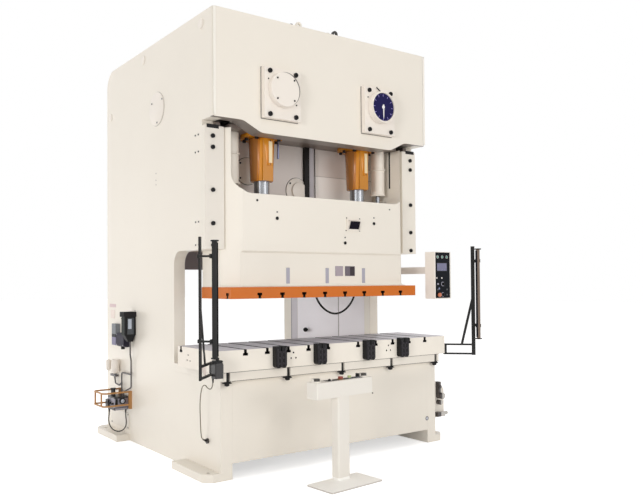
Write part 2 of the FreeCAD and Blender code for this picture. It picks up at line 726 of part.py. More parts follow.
def crown_front():
    """Front girder of the crown: shaped plate, bottom lip and the crank's front bearing bosses."""
    body = new_body("crown_front")
    contour = [
        ("-half_width", "crown_end_height"),
        ("-lip_half_high", "crown_end_height"),
        ("-lip_half_low", "lip_height"),
        ("lip_half_low", "lip_height"),
        ("lip_half_high", "crown_end_height"),
        ("half_width", "crown_end_height"),
    ]
    face = new_sketch(body, "XZ_Plane", "-crown_front")
    polygon(face, contour + [("half_width", "crown_top"), ("-half_width", "crown_top")])
    pad(body, face, "front_plate", backwards=True)
    band = new_sketch(body, "XZ_Plane", "-(crown_front + front_plate)")
    ends = [("-window_half + 12", "crown_end_height"), ("window_half - 12", "crown_end_height")]
    middle = ends[:1] + contour[1:5] + ends[1:]
    raised = [(u, v + " + lip_plate") for u, v in reversed(middle)]
    polygon(band, middle + raised)
    pad(body, band, "lip_depth - front_plate", backwards=True)
    for side in (-1, 1):
        shelf = new_sketch(body, "XZ_Plane", "-(crown_front + front_plate)")
        span = ("%d * (window_half - 12)" % side, "%d * inner_half" % side)
        rectangle(shelf, span, ("crown_end_height", "crown_end_height + lip_plate"))
        pad(body, shelf, 55, backwards=True)
    dress(body, "Fillet", "y",
          lambda p: (near(abs(p.x), "lip_half_low") and near(p.z, "lip_height"))
          or (near(abs(p.x), "lip_half_high") and near(p.z, "crown_end_height")), "lip_bend")
    dress(body, "Fillet", "z", lambda p: near(abs(p.x), "half_width") and near(p.y, "crown_front"),
          "crown_corner")
    boss = new_sketch(body, "XZ_Plane", "-(crown_front + front_plate)")
    for side in (-1, 1):
        circle(boss, "%d * crank_half" % side, "crank_height", "bush_radius + 35")
    pad(body, boss, 80, backwards=True)
    doc.recompute()
    bore = new_sketch(body, "XZ_Plane", "-crown_front")
    for side in (-1, 1):
        circle(bore, "%d * crank_half" % side, "crank_height", "bush_radius")
    pocket(body, bore, "front_plate + 80")
    return body


def crown_back_shell():
    """Bent plate that closes the crown's top and its back."""
    body = new_body("crown_back_shell")
    sketch = new_sketch(body, "YZ_Plane", "-inner_half")
    polygon(sketch, [
        ("crown_front + front_plate", "crown_top - shell_plate"),
        ("crown_front + front_plate", "crown_top"),
        ("frame_rear", "crown_top"),
        ("frame_rear", "shell_low"),
        ("frame_rear - shell_plate", "shell_low"),
        ("frame_rear - shell_plate", "crown_top - shell_plate"),
    ])
    pad(body, sketch, "2 * inner_half")
    dress(body, "Fillet", "x", lambda p: near(p.y, "frame_rear") and near(p.z, "crown_top"), "rear_corner")
    dress(body, "Fillet", "x",
          lambda p: near(p.y, "frame_rear - shell_plate") and near(p.z, "crown_top - shell_plate"),
          "rear_corner - shell_plate")
    return body


def crown_floor():
    """Plate over the slide, with holes for the plunger guides and for the rising wings."""
    body = new_body("crown_floor")
    sketch = new_sketch(body, "XY_Plane", "crown_floor")
    rectangle(sketch, ("-inner_half", "inner_half"), ("crown_front + lip_depth", "wall_front"))
    for side in (-1, 1):
        circle(sketch, "%d * crank_half" % side, "plunger_y", "plunger_radius + 35")
    pad(body, sketch, "crown_floor_plate")
    doc.recompute()
    notches = new_sketch(body, "XY_Plane", "crown_floor")
    for side in (-1, 1):
        wing = ("%d * (window_half - 10)" % side, "%d * (slide_half + 10)" % side)
        rectangle(notches, wing, ("crown_front + lip_depth - 5", "slide_rear + 12"))
    pocket(body, notches, "crown_floor_plate", backwards=True)
    return body


def bearing_wall():
    """Front wall of the gear case, behind the slide."""
    body = new_body("bearing_wall")
    sketch = new_sketch(body, "XZ_Plane", "-wall_front")
    rectangle(sketch, ("-inner_half", "inner_half"), ("wall_low", "crown_top - shell_plate"))
    for side in (-1, 1):
        circle(sketch, "%d * crank_half" % side, "crank_height", "bush_radius")
    circle(sketch, "0", "crank_height", "pinion_half + run_gap + bush_wall")
    pad(body, sketch, "wall_plate", backwards=True)
    doc.recompute()
    return body


def gear_case():
    """Floor of the gear case and the rear bearing wall that stands on it."""
    body = new_body("gear_case")
    floor = new_sketch(body, "XY_Plane", "case_floor")
    rectangle(floor, ("-inner_half", "inner_half"), ("wall_front + wall_plate", "frame_rear - shell_plate"))
    pad(body, floor, "case_floor_plate")
    wall = new_sketch(body, "XZ_Plane", "-(crown_front + rear_wall_setback)")
    rectangle(wall, ("-inner_half", "inner_half"),
              ("case_floor + case_floor_plate", "crown_top - shell_plate"))
    for side in (-1, 1):
        circle(wall, "%d * crank_half" % side, "crank_height", "bush_radius")
    circle(wall, "0", "crank_height", "pinion_half + run_gap + bush_wall")
    pad(body, wall, "wall_plate", backwards=True)
    doc.recompute()
    return body


def crank_bearings():
    """Bearing bushes of the two crankshafts and of the pinion shaft."""
    rings = []
    spans = (
        ("crown_front", "front_plate + 80"),
        ("wall_front", "wall_plate"),
        ("crown_front + rear_wall_setback", "wall_plate"),
    )
    for place, (start, length) in enumerate(spans):
        for step in (-1, 0, 1):
            if step == 0 and place == 0:
                continue
            x = "%d * crank_half" % step
            inner = "journal_radius" if step else "pinion_half"
            outer = cylinder(inner + " + run_gap + bush_wall", length, (x, start, "crank_height"), "y")
            bore = cylinder(inner + " + run_gap", length, (x, start, "crank_height"), "y")
            rings.append(cut(outer, [bore], "Bush"))
    return node("crank_bearings", together(rings, "CrankBearings"))


def crank_covers():
    """Square covers over the cranks' front bearings, the left one with a round cap."""
    items = []
    for side in (-1, 1):
        x = "%d * crank_half" % side
        middle = "crank_height - cover_drop"
        plate = block((x + " - cover_width / 2", x + " + cover_width / 2"),
                      ("crown_front - cover_thick", "crown_front"),
                      (middle + " - cover_height / 2", middle + " + cover_height / 2"), "CoverPlate")
        if side < 0:
            cap = cylinder("cap_radius", "cap_thick",
                           (x, "crown_front - cover_thick - cap_thick", "crank_height"), "y")
            rim = doc.addObject("Part::Chamfer", "CapRim")
            whole = fuse([plate, cap], "CoverWithCap")
            doc.recompute()
            rim.Base = whole
            rim.Edges = [(index, 4.0, 4.0) for index, edge in enumerate(whole.Shape.Edges, start=1)
                         if all(near(p.Point.y,
                                     "crown_front - cover_thick - cap_thick") for p in edge.Vertexes)]
            items.append(rim)
        else:
            hole = cylinder(13, "cover_thick", (x, "crown_front - cover_thick", "crank_height"), "y")
            items.append(cut(plate, [hole], "DialPlate"))
    return node("crank_covers", together(items, "CrankCovers"))


def angle_dial():
    """Housing of the crank angle dial, with a sunk face inside its ring."""
    x = "crank_half"
    outer = cylinder("dial_radius + dial_ring", "dial_depth", (x, "dial_front", "crank_height"), "y")
    well = cylinder("dial_radius", 12, (x, "dial_front", "crank_height"), "y")
    hole = cylinder(13, "dial_depth", (x, "dial_front", "crank_height"), "y")
    return node("angle_dial", cut(outer, [well, hole], "AngleDial"))


def angle_pointer():
    """Pointer of the dial on its spindle, which turns with the right crankshaft."""
    y = size("dial_front")
    x = size("crank_half")
    z = size("crank_height")
    reach = size("dial_radius") * 0.8
    blade = Part.Face(Part.makePolygon([
        Vector(x - 7, y + 4, z + 22), Vector(x + 7, y + 4, z + 22), Vector(x + 4, y + 4, z - reach * 0.8),
        Vector(x, y + 4, z - reach), Vector(x - 4, y + 4, z - reach * 0.8), Vector(x - 7, y + 4, z + 22),
    ])).extrude(Vector(0, 3, 0))
    spindle = Part.makeCylinder(9, size("crown_front") + 12 - y, Vector(x, y, z), Vector(0, 1, 0))
    return node("angle_pointer", solid_feature(blade.fuse(spindle).removeSplitter(), "AnglePointer"))


# ---------------------------------------------------------------- drive


def involute(base, radius):
    """Polar angle of the involute of a base circle at a radius."""
    turn = math.sqrt(max((radius / base) ** 2 - 1, 0))
    return turn - math.atan(turn)


def gear_outline(module, teeth, thinning, addendum=0.9, dedendum=1.15, steps=3):
    """Corners of a spur gear's outline, with its first tooth centred on +X."""
    pitch = module * teeth / 2
    base = pitch * math.cos(math.radians(20))
    tip = pitch + addendum * module
    root = pitch - dedendum * module
    half_tooth = math.pi / (2 * teeth) - thinning / (2 * pitch)
    start = max(base, root + 0.5)
    radii = [start + (tip - start) * k / steps for k in range(steps + 1)]
    flank = [(r, half_tooth + involute(base, pitch) - involute(base, r)) for r in radii]
    corners = []
    for tooth in range(teeth):
        middle = 2 * math.pi * tooth / teeth
        corners.append((root, middle - flank[0][1]))
        corners += [(r, middle - angle) for r, angle in flank]
        corners += [(r, middle + angle) for r, angle in reversed(flank)]
        corners.append((root, middle + flank[0][1]))
    return [(r * math.cos(a), r * math.sin(a)) for r, a in corners]


def toothed_disc(teeth, thinning, face_start, face_width, x, turn):
    corners = gear_outline(size("gear_module"), teeth, thinning)
    z = size("crank_height")
    points = [Vector(u, face_start, v) for u, v in corners]
    disc = Part.Face(Part.makePolygon(points + points[:1])).extrude(Vector(0, face_width, 0))
    disc.rotate(Vector(), Vector(0, 1, 0), turn)
    disc.translate(Vector(x, 0, z))
    return disc


def main_gear(name, side):
    """Main gear on a crankshaft, with a rim, a thinner web and a hub."""
    x = side * size("crank_half")
    z = size("crank_height")
    start = size("crown_front + gear_setback")
    face = size("gear_face")
    pitch = size("gear_module * gear_teeth / 2")
    disc = toothed_disc(int(size("gear_teeth")), 1.2, start, face, x, 0 if side > 0 else 180)
    tools = [Part.makeCylinder(size("journal_radius"), face, Vector(x, start, z), Vector(0, 1, 0))]
    for low in (start, start + face - 35):
        ring = Part.makeCylinder(pitch - 60, 35, Vector(x, low, z), Vector(0, 1, 0))
        hub = Part.makeCylinder(size("journal_radius") + 60, 35, Vector(x, low, z), Vector(0, 1, 0))
        tools.append(ring.cut(hub))
    for step in range(6):
        angle = math.radians(60 * step + 30)
        reach = (pitch - 60 + size("journal_radius") + 60) / 2
        centre = Vector(x + reach * math.cos(angle), start, z + reach * math.sin(angle))
        tools.append(Part.makeCylinder(62, face, centre, Vector(0, 1, 0)))
    return node(name, solid_feature(disc.cut(tools).removeSplitter(), "MainGear"))


def pinion_shaft():
    """Drive pinion, its shaft and the clutch drum behind the flywheel."""
    z = size("crank_height")
    radius = size("pinion_half")
    start = size("wall_front")
    rear = size("crown_front + flywheel_setback + flywheel_face") + 120
    pinion = toothed_disc(int(size("pinion_teeth")), 1.2, size("crown_front + gear_setback"),
                          size("gear_face"), 0, 0)
    shaft = Part.makeCylinder(radius, rear - start, Vector(0, start, z), Vector(0, 1, 0))
    drum = Part.makeCylinder(radius * 3.6, 100, Vector(0, rear - 110, z), Vector(0, 1, 0))
    return node("pinion_shaft", solid_feature(pinion.fuse([shaft, drum]).removeSplitter(), "PinionShaft"))


def crankshaft(name, side):
    """Crankshaft with one throw, its pin straight down at bottom dead centre."""
    x = side * size("crank_half")
    z = size("crank_height")
    throw = size("throw")
    middle = size("plunger_y")
    half = size("pin_length") / 2
    web = size("web_plate")
    front = size("crown_front") + (12 if side > 0 else 2)
    rear = size("crown_front + rear_wall_setback + wall_plate") + 6
    along = Vector(0, 1, 0)
    journal = size("journal_radius")
    parts = [
        Part.makeCylinder(journal, middle - half - web - front, Vector(x, front, z), along),
        Part.makeCylinder(journal, rear - middle - half - web, Vector(x, middle + half + web, z), along),
        Part.makeCylinder(size("pin_radius"), 2 * half, Vector(x, middle - half, z - throw), along),
    ]
    cheek = size("pin_radius") + 18
    for start in (middle - half - web, middle + half):
        upper = Part.makeCylinder(cheek, web, Vector(x, start, z), along)
        lower = Part.makeCylinder(cheek, web, Vector(x, start, z - throw), along)
        slab = Part.makeBox(2 * cheek, web, throw, Vector(x - cheek, start, z - throw))
        parts.append(upper.fuse([lower, slab]))
    return node(name, solid_feature(parts[0].fuse(parts[1:]).removeSplitter(), "Crankshaft"))


def flywheel():
    """Flywheel with grooved rim, spoked by holes, free on the pinion shaft."""
    z = size("crank_height")
    start = size("crown_front + flywheel_setback")
    face = size("flywheel_face")
    radius = size("flywheel_radius")
    along = Vector(0, 1, 0)
    rim = Part.makeCylinder(radius, face, Vector(0, start, z), along)
    inner = radius - 75
    hub = size("pinion_half") * 2.4
    tools = [Part.makeCylinder(size("pinion_half + run_gap"), face, Vector(0, start, z), along)]
    for low in (start, start + face - 60):
        ring = Part.makeCylinder(inner, 60, Vector(0, low, z), along)
        tools.append(ring.cut(Part.makeCylinder(hub, 60, Vector(0, low, z), along)))
    for step in range(6):
        angle = math.radians(60 * step)
        reach = (inner + hub) / 2
        centre = Vector(reach * math.cos(angle), start, z + reach * math.sin(angle))
        tools.append(Part.makeCylinder(60, face, centre, along))
    return node("flywheel", solid_feature(rim.cut(tools).removeSplitter(), "Flywheel"))


def drive_motor():
    """Foot-mounted motor on the gear case floor."""
    x = "motor_side"
    z = "motor_height"
    start = "crown_front + flywheel_setback + flywheel_face + 60"
    barrel = cylinder("motor_radius", "motor_length", (x, start, z), "y")
    cowl = cylinder("motor_radius - 12", 70, (x, start + " + motor_length", z), "y")
    nose = cylinder("motor_radius * 0.6", 20, (x, start + " - 20", z), "y")
    foot = block((x + " - motor_radius", x + " + motor_radius"),
                 (start + " + 40", start + " + motor_length - 40"),
                 ("case_floor + case_floor_plate", z + " - motor_radius + 40"))
    box = block((x + " + 40", x + " + motor_radius + 70"), (start + " + 90", start + " + 260"),
                (z + " - 20", z + " + 110"))
    return node("drive_motor", fuse([barrel, cowl, nose, foot, box], "DriveMotor"))


def motor_pulley():
    """Pulley on the stub of the motor's shaft."""
    x = "motor_side"
    z = "motor_height"
    start = "crown_front + flywheel_setback"
    rim = cylinder("pulley_radius", "flywheel_face", (x, start, z), "y")
    stub = cylinder(28, 39.7, (x, start + " + flywheel_face", z), "y")
    return node("motor_pulley", fuse([rim, stub], "MotorPulley"))


def belt_loop(gap, thick, start, width):
    """A belt round the flywheel and the pulley, on their common tangents."""
    wheel = Vector(0, 0, size("crank_height"))
    small = Vector(size("motor_side"), 0, size("motor_height"))
    span = small - wheel
    distance = span.Length
    base = math.atan2(span.z, span.x)
    loops = []
    for extra in (gap, gap + thick):
        large_radius = size("flywheel_radius") + extra
        small_radius = size("pulley_radius") + extra
        lean = math.acos((large_radius - small_radius) / distance)

        def spot(centre, radius, angle):
            return Vector(centre.x + radius * math.cos(angle), start, centre.z + radius * math.sin(angle))

        first = base + lean
        last = base - lean
        edges = [
            Part.Arc(spot(wheel, large_radius, first), spot(wheel, large_radius, base + math.pi),
                     spot(wheel, large_radius, last)),
            Part.LineSegment(spot(wheel, large_radius, last), spot(small, small_radius, last)),
            Part.Arc(spot(small, small_radius, last), spot(small, small_radius, base),
                     spot(small, small_radius, first)),
            Part.LineSegment(spot(small, small_radius, first), spot(wheel, large_radius, first)),
        ]
        loops.append(Part.Wire([edge.toShape() for edge in edges]))
    ring = Part.Face(loops[1]).cut(Part.Face(loops[0]))
    return ring.extrude(Vector(0, width, 0))


def drive_belts():
    """Belts side by side between the flywheel and the motor pulley."""
    count = int(size("belt_count"))
    pitch = size("flywheel_face") / count
    start = size("crown_front + flywheel_setback")
    loops = [belt_loop(0.3, size("belt_thick"), start + pitch * (k + 0.12),
                       pitch * 0.76) for k in range(count)]
    return node("drive_belts", solid_feature(Part.makeCompound(loops), "DriveBelts"))


# ---------------------------------------------------------------- slide


def slide_body():
    """Slide: octagonal front corners, proud upper face, guide wings and open pockets."""
    body = new_body("slide_body")

    def plan(height, proud):
        """Outline whose front stands forward by an amount, on the same bevel line."""
        sketch = new_sketch(body, "XY_Plane", height)
        narrow = "slide_half - slide_corner - (%s)" % proud
        polygon(sketch, [
            ("-(%s)" % narrow, "slide_front - (%s)" % proud),
            (narrow, "slide_front - (%s)" % proud),
            ("slide_half", "slide_front + slide_corner"),
            ("slide_half", "slide_rear"),
            ("-slide_half", "slide_rear"),
            ("-slide_half", "slide_front + slide_corner"),
        ])
        return sketch

    pad(body, plan("slide_low", "0"), "slide_step_height")
    pad(body, plan("slide_low + slide_step_height", "slide_step"),
        "wing_top - slide_low - slide_step_height")
    doc.recompute()
    window = new_sketch(body, "XZ_Plane", "-(slide_front - slide_step)")
    rectangle(window, ("-window_half", "window_half"), ("shelf", "wing_top + 5"))
    pocket(body, window, "slide_depth + slide_step + 5")
    dress(body, "Fillet", "y", lambda p: near(abs(p.x), "window_half") and near(p.z, "shelf"),
          "window_corner")
    dress(body, "Chamfer", "x",
          lambda p: near(p.y, "slide_front - slide_step") and near(p.z, "slide_low + slide_step_height"),
          "slide_step - 1")
    pockets = new_sketch(body, "XY_Plane", "shelf")
    for side in (-1, 1):
        circle(pockets, "%d * crank_half" % side, "plunger_y", "pocket_radius")
    pocket(body, pockets, "pocket_depth")
    wells = new_sketch(body, "XY_Plane", "shelf + window_corner")
    for side in (-1, 1):
        circle(wells, "%d * balance_side" % side, "crown_front + balance_setback", "balance_pocket")
    pocket(body, wells, "shelf + window_corner - balance_pocket_floor")
    flare(body)
    slots = new_sketch(body, "XZ_Plane", "-slide_front")
    for step in (-1, 0, 1):
        middle = "%d * knock_pitch" % step
        rectangle(slots, (middle + " - knock_width / 2", middle + " + knock_width / 2"),
                  ("slide_low + slide_flare / 3", "slide_low + knock_height"))
    pocket(body, slots, "knock_depth")
    terminals = new_sketch(body, "XZ_Plane", "-slide_rear")
    for x, z in (HOSE_ROUTE[0], HOSE_ROUTE[-1]):
        rectangle(terminals, (x - 20, x + 20),
                  ("slide_low + %d" % (z - HOSE_DATUM), "slide_low + %d" % (z - HOSE_DATUM + 50)))
    pad(body, terminals, 52, backwards=True)
    doc.recompute()
    return body


HOSE_DATUM = 1432
HOSE_ROUTE = (
    (196, 1440), (196, 1380), (214, 1312), (262, 1246), (340, 1200), (440, 1184), (540, 1200), (618, 1246),
    (666, 1312), (684, 1380), (684, 1440),
)


def flare(body):
    """Concave flare from the slide's foot out to the slide plate's edge."""
    rim = new_sketch(body, "XY_Plane", "slide_low")
    reach = "slide_half - slide_corner + slide_flare * 0.4"
    polygon(rim, [
        ("-(%s)" % reach, "slide_front - slide_flare"),
        (reach, "slide_front - slide_flare"),
        ("slide_half", "slide_front + slide_corner - slide_flare * 1.4"),
        ("slide_half", "slide_front + slide_corner + slide_flare"),
        ("-slide_half", "slide_front + slide_corner + slide_flare"),
        ("-slide_half", "slide_front + slide_corner - slide_flare * 1.4"),
    ])
    pad(body, rim, "flare_rim")
    doc.recompute()
    base = body.Tip
    foot = size("slide_low + flare_rim")
    sides = []
    for index, edge in enumerate(base.Shape.Edges, start=1):
        ends = [vertex.Point for vertex in edge.Vertexes]
        level = all(abs(point.z - foot) < 0.01 for point in ends)
        bevel = size("slide_half - slide_corner - slide_front")
        inside = all(abs(point.x) - point.y < bevel + 1 for point in ends)
        ahead = all(point.y < size("slide_front + slide_corner") + 1 for point in ends)
        across = abs(ends[0].x - ends[-1].x) > 10
        if level and inside and ahead and across:
            sides.append("Edge%d" % index)
    blend = body.newObject("PartDesign::Fillet", "Fillet")
    blend.Base = (base, sides)
    bind(blend, "Radius", "slide_flare - flare_rim - 4")
    doc.recompute()


def slide_plate():
    """Orange die plate under the slide, with T-slots that open downwards."""
    body = new_body("slide_plate")
    plan = new_sketch(body, "XY_Plane", "plate_low")
    front = "crown_front + plate_setback"
    rectangle(plan, ("-plate_half", "plate_half"), (front, front + " + plate_depth"))
    pad(body, plan, "plate_thick")
    doc.recompute()
    slot = new_sketch(body, "XZ_Plane", "-(%s)" % front)
    slot_profile(slot, "(plate_slot_shift - plate_slot_pitch * (plate_slots - 1) / 2)", "plate_low", 1)
    first = pocket(body, slot, "plate_depth")
    pattern(body, first, slot, "plate_slot_pitch * (plate_slots - 1)", "plate_slots")
    doc.recompute()
    end = new_sketch(body, "YZ_Plane", "-plate_half")
    slot_profile(end, front + " + 55", "plate_low", 1)
    pocket(body, end, 12, backwards=True)
    return body


def gib_plates():
    """Bevelled front gibs, and the side and rear liners that guide the slide."""
    shapes = []
    low = size("throat_top")
    high = size("crown_floor")
    column = size("column_front")
    outer = size("half_width")
    inner = outer - size("gib_width")
    gap = size("gib_bevel_gap")
    bevel = size("slide_half - slide_corner - slide_front") + gap * math.sqrt(2)
    front = column - size("gib_thick")
    for side in (-1, 1):
        outline = [(outer, front), (inner, front), (inner, inner - bevel), (bevel + column, column),
                   (outer, column)]
        corners = [Vector(side * x, y, low) for x, y in outline]
        shapes.append(Part.Face(Part.makePolygon(corners + corners[:1])).extrude(Vector(0, 0, high - low)))
        face = size("slide_half + liner_gap")
        wall = size("inner_half")
        start = min(side * face, side * wall)
        shapes.append(Part.makeBox(wall - face, size("slide_rear") - column, high - low,
                                   Vector(start, column, low)))
        rear = size("slide_rear + liner_gap")
        width = size("rear_liner_width")
        start = min(side * wall, side * (wall - width))
        liner_low = size("wall_low")
        shapes.append(Part.makeBox(width, size("wall_front") - rear, high - liner_low,
                                   Vector(start, rear, liner_low)))
    return node("gib_plates", solid_feature(Part.makeCompound(shapes), "GibPlates"))


def plungers():
    """Polished plungers with a foot in the slide's pocket and a fork for the wrist pin."""
    items = []
    foot = "shelf - pocket_depth"
    top = "wrist_height + 50"
    for side in (-1, 1):
        x = "%d * crank_half" % side
        stem = cylinder("plunger_radius", minus(top, foot), (x, "plunger_y", foot))
        flange = cylinder("plunger_radius + 32", 30, (x, "plunger_y", foot))
        fork = block((x + " - plunger_radius - 2", x + " + plunger_radius + 2"),
                     ("plunger_y - rod_thick / 2 - 0.5", "plunger_y + rod_thick / 2 + 0.5"),
                     ("wrist_height - 52", top + " + 2"))
        hole = cylinder("wrist_radius", "2 * plunger_radius",
                        (x, "plunger_y - plunger_radius", "wrist_height"), "y")
        items.append(cut(fuse([stem, flange]), [fork, hole], "Plunger"))
    return node("plungers", together(items, "Plungers"))


def connecting_rods():
    """Connecting rods with a wrist pin below and a long window round the crankpin above."""
    shapes = []
    y = size("plunger_y - rod_thick / 2")
    thick = size("rod_thick")
    wrist = size("wrist_height")
    pin_z = size("crank_height - throw")
    half_wide = size("throw + pin_radius") + 6
    half_high = size("pin_radius + stroke * 0.115") + 6
    wall = 26
    along = Vector(0, 1, 0)
    for side in (-1, 1):
        x = side * size("crank_half")
        outer = half_high + wall
        straight = half_wide - half_high
        hub = [Part.makeCylinder(outer, thick, Vector(x + s * straight, y, pin_z), along) for s in (-1, 1)]
        slab = Part.makeBox(2 * straight, thick, 2 * outer, Vector(x - straight, y, pin_z - outer))
        hole = [Part.makeCylinder(half_high, thick, Vector(x + s * straight, y, pin_z), along) for s in (-1,
                                                                                                         1)]
        hole.append(Part.makeBox(2 * straight, thick, 2 * half_high,
                                 Vector(x - straight, y, pin_z - half_high)))
        shank = Part.makeBox(80, thick, pin_z - outer - wrist + 8, Vector(x - 40, y, wrist))
        eye = Part.makeCylinder(44, thick, Vector(x, y, wrist), along)
        rod = hub[0].fuse([hub[1], slab, shank, eye]).cut(hole)
        pin_length = 2 * size("plunger_radius") - 12
        wrist_pin = Part.makeCylinder(size("wrist_radius"), pin_length,
                                      Vector(x, size("plunger_y") - pin_length / 2, wrist), along)
        shapes.append(rod.fuse(wrist_pin).removeSplitter())
    return node("connecting_rods", solid_feature(Part.makeCompound(shapes), "ConnectingRods"))


def plunger_guides():
    """Orange plunger guides, each with a bolted flange and a flat front pad."""
    items = []
    top = "crown_floor"
    for side in (-1, 1):
        x = "%d * crank_half" % side
        barrel = cylinder("guide_radius", minus(top, "guide_low"), (x, "plunger_y", "guide_low"))
        flange = cylinder("guide_flange_radius", "guide_flange", (x, "plunger_y", top + " - guide_flange"))
        face = block((x + " - guide_pad_width / 2", x + " + guide_pad_width / 2"),
                     ("plunger_y - guide_pad_reach", "plunger_y"), ("guide_low", top))
        bore = cylinder("plunger_radius + run_gap", minus(top, "guide_low"), (x, "plunger_y", "guide_low"))
        relief = block((x + " - guide_flange_radius", x + " + guide_flange_radius"),
                       ("plunger_y - guide_flange_radius", "crown_front + lip_depth + 0.3"),
                       (top + " - guide_flange", top))
        items.append(cut(fuse([barrel, flange, face]), [bore, relief], "PlungerGuide"))
    return node("plunger_guides", together(items, "PlungerGuides"))


def counterbalance_cylinders():
    """Air cylinders that carry the slide's weight, hung from the crown floor."""
    items = []
    for side in (-1, 1):
        x = "%d * balance_side" % side
        y = "crown_front + balance_setback"
        tube = cylinder("balance_radius", "crown_floor - balance_low", (x, y, "balance_low"))
        rings = [cylinder("balance_radius + 9", 12, (x, y, height)) for height in ("balance_low",
                                                                                   "balance_low + 240")]
        bore = cylinder("balance_bore", "crown_floor - balance_low - 34", (x, y, "balance_low + 14"))
        gland = cylinder("balance_rod + run_gap", 14, (x, y, "balance_low"))
        items.append(cut(fuse([tube] + rings), [bore, gland], "BalanceCylinder"))
    return node("counterbalance_cylinders", together(items, "CounterbalanceCylinders"))


def counterbalance_rods():
    """Piston rods of the counterbalance cylinders, standing in the slide."""
    items = []
    for side in (-1, 1):
        x = "%d * balance_side" % side
        y = "crown_front + balance_setback"
        stem = cylinder("balance_rod", "balance_low + 50 - balance_pocket_floor",
                        (x, y, "balance_pocket_floor"))
        piston = cylinder("balance_bore - run_gap", 30, (x, y, "balance_low + 20"))
        seat = cylinder("balance_rod + 22", 18, (x, y, "balance_pocket_floor"))
        items.append(fuse([stem, piston, seat], "BalanceRod"))
    return node("counterbalance_rods", together(items, "CounterbalanceRods"))


def slide_display():
    """Die height display on the slide's front."""
    front = "slide_front - slide_step"
    frame = block((206, 354), (front + " - 10", front), ("shelf - 260", "shelf - 160"))
    well = block((222, 338), (front + " - 10", front + " - 5"), ("shelf - 248", "shelf - 172"))
    return node("slide_display", cut(frame, [well], "SlideDisplay"))


def frame_screws():
    """Cap screws of the gibs, the crank covers and the plunger guides."""
    shapes = []

    def cap(place, direction, radius, length):
        head = Part.makeCylinder(radius, length, place, direction)
        socket = Part.makeCylinder(radius * 0.5, length * 0.55, place + direction * (length * 0.45),
                                   direction)
        shapes.append(head.cut(socket))

    front = Vector(0, -1, 0)
    low = size("throat_top")
    high = size("crown_floor")
    for side in (-1, 1):
        for share in (0.032, 0.208, 0.478, 0.825, 0.916):
            height = low + (high - low) * share
            cap(Vector(side * size("half_width - 68"), size("column_front - gib_thick"), height), front, 17,
                12)
        for across in (-1, 1):
            for up in (-1, 1):
                place = Vector(side * size("crank_half") + across * size("cover_width / 2 - 50"),
                               size("crown_front - cover_thick"),
                               size("crank_height - cover_drop") + up * size("cover_height / 2 - 30"))
                cap(place, front, 19, 12)
        reach = size("guide_radius + (guide_flange_radius - guide_radius) * 0.67")
        ahead = size("plunger_setback - lip_depth - guide_bolt_room")
        wide = size("guide_flange_radius * 0.615")
        ring = [(reach * math.cos(math.radians(step)), reach * math.sin(math.radians(step)))
                for step in (0, 45, 90, 135, 180)]
        for across, back in [(-wide, -ahead), (wide, -ahead)] + ring:
            place = Vector(side * size("crank_half") + across, size("plunger_y") + back,
                           size("crown_floor - guide_flange"))
            cap(place, Vector(0, 0, -1), 15, 20)
    return node("frame_screws", solid_feature(Part.makeCompound(shapes), "FrameScrews"))


WALL_COVERS = (
    ("0", "crank_height - middle_cover_drop"),
    ("-crank_half", "crank_height - outer_cover_drop"),
    ("crank_half", "crank_height - outer_cover_drop"),
)


def wall_covers():
    """Round covers on the bearing wall and on the side frames."""
    shapes = []
    wall = size("wall_front")
    radius = size("wall_cover_radius")
    for across, height in WALL_COVERS:
        x = size(across)
        z = size(height)
        disc = Part.makeCylinder(radius, 12, Vector(x, wall - 12, z), Vector(0, 1, 0))
        cap = Part.makeCylinder(radius * 0.59, 10, Vector(x, wall - 20, z), Vector(0, 1, 0))
        shapes.append(disc.fuse(cap).removeSplitter())
    for side in (-1, 1):
        face = side * size("half_width")
        out = Vector(side, 0, 0)
        spots = (
            ("frame_depth * 0.459", "crank_height - side_cover_drop", "side_cover_radius"),
            ("frame_depth * 0.087", "crown_top - side_plug_drop", "side_plug_radius"),
            ("frame_depth * 0.59", "crown_top - side_plug_drop", "side_plug_radius"),
            ("frame_depth * 0.954", "crank_height + crown_rise * 0.205", "side_plug_radius * 0.9"),
        )
        for setback, height, round_radius in spots:
            place = Vector(face, size("crown_front + " + setback), size(height))
            shapes.append(Part.makeCylinder(size(round_radius), 8, place, out))
    return node("round_covers", solid_feature(Part.makeCompound(shapes), "RoundCovers"))


def wall_duct():
    """Upright black guard and pale cable channel on the bearing wall."""
    x, z = WALL_COVERS[0]
    cover = cylinder("wall_cover_radius + 0.3", 12.3, (x, "wall_front - 12.3", z), "y")
    seam = "duct_side + duct_guard"
    black = block(("duct_side", seam), ("wall_front - 34", "wall_front"), ("wall_low + 30", "crown_floor"))
    pale = block((seam, seam + " + duct_channel"), ("wall_front - 14", "wall_front"),
                 ("wall_low + 30", "crown_floor"))
    return node("wall_duct", together([cut(black, [cover], "BlackGuard"), pale], "WallDuct"))


# ---------------------------------------------------------------- light curtains


def curtain_hinges():
    """Hinge blocks and pins at the bolster's ends, which carry the light curtains."""
    items = []
    for side in (-1, 1):
        x = "%d * (bolster_half + curtain_hinge_out)" % side
        y = "bolster_front + curtain_hinge_back"
        edge = "%d * bolster_half" % side
        rim = "%d * (bolster_half + curtain_hinge_out + 12)" % side
        low, high = (edge, rim) if side > 0 else (rim, edge)
        body = block((low, high), (y + " - 14", y + " + 14"),
                     ("curtain_rail_low + curtain_rail_section + 0.3", "curtain_rail_high - 0.3"))
        pivot = cylinder(6, "curtain_rail_high + curtain_rail_section - curtain_rail_low",
                         (x, y, "curtain_rail_low"))
        items.append(fuse([body, pivot], "CurtainHinge"))
    return node("curtain_hinges", together(items, "CurtainHinges"))


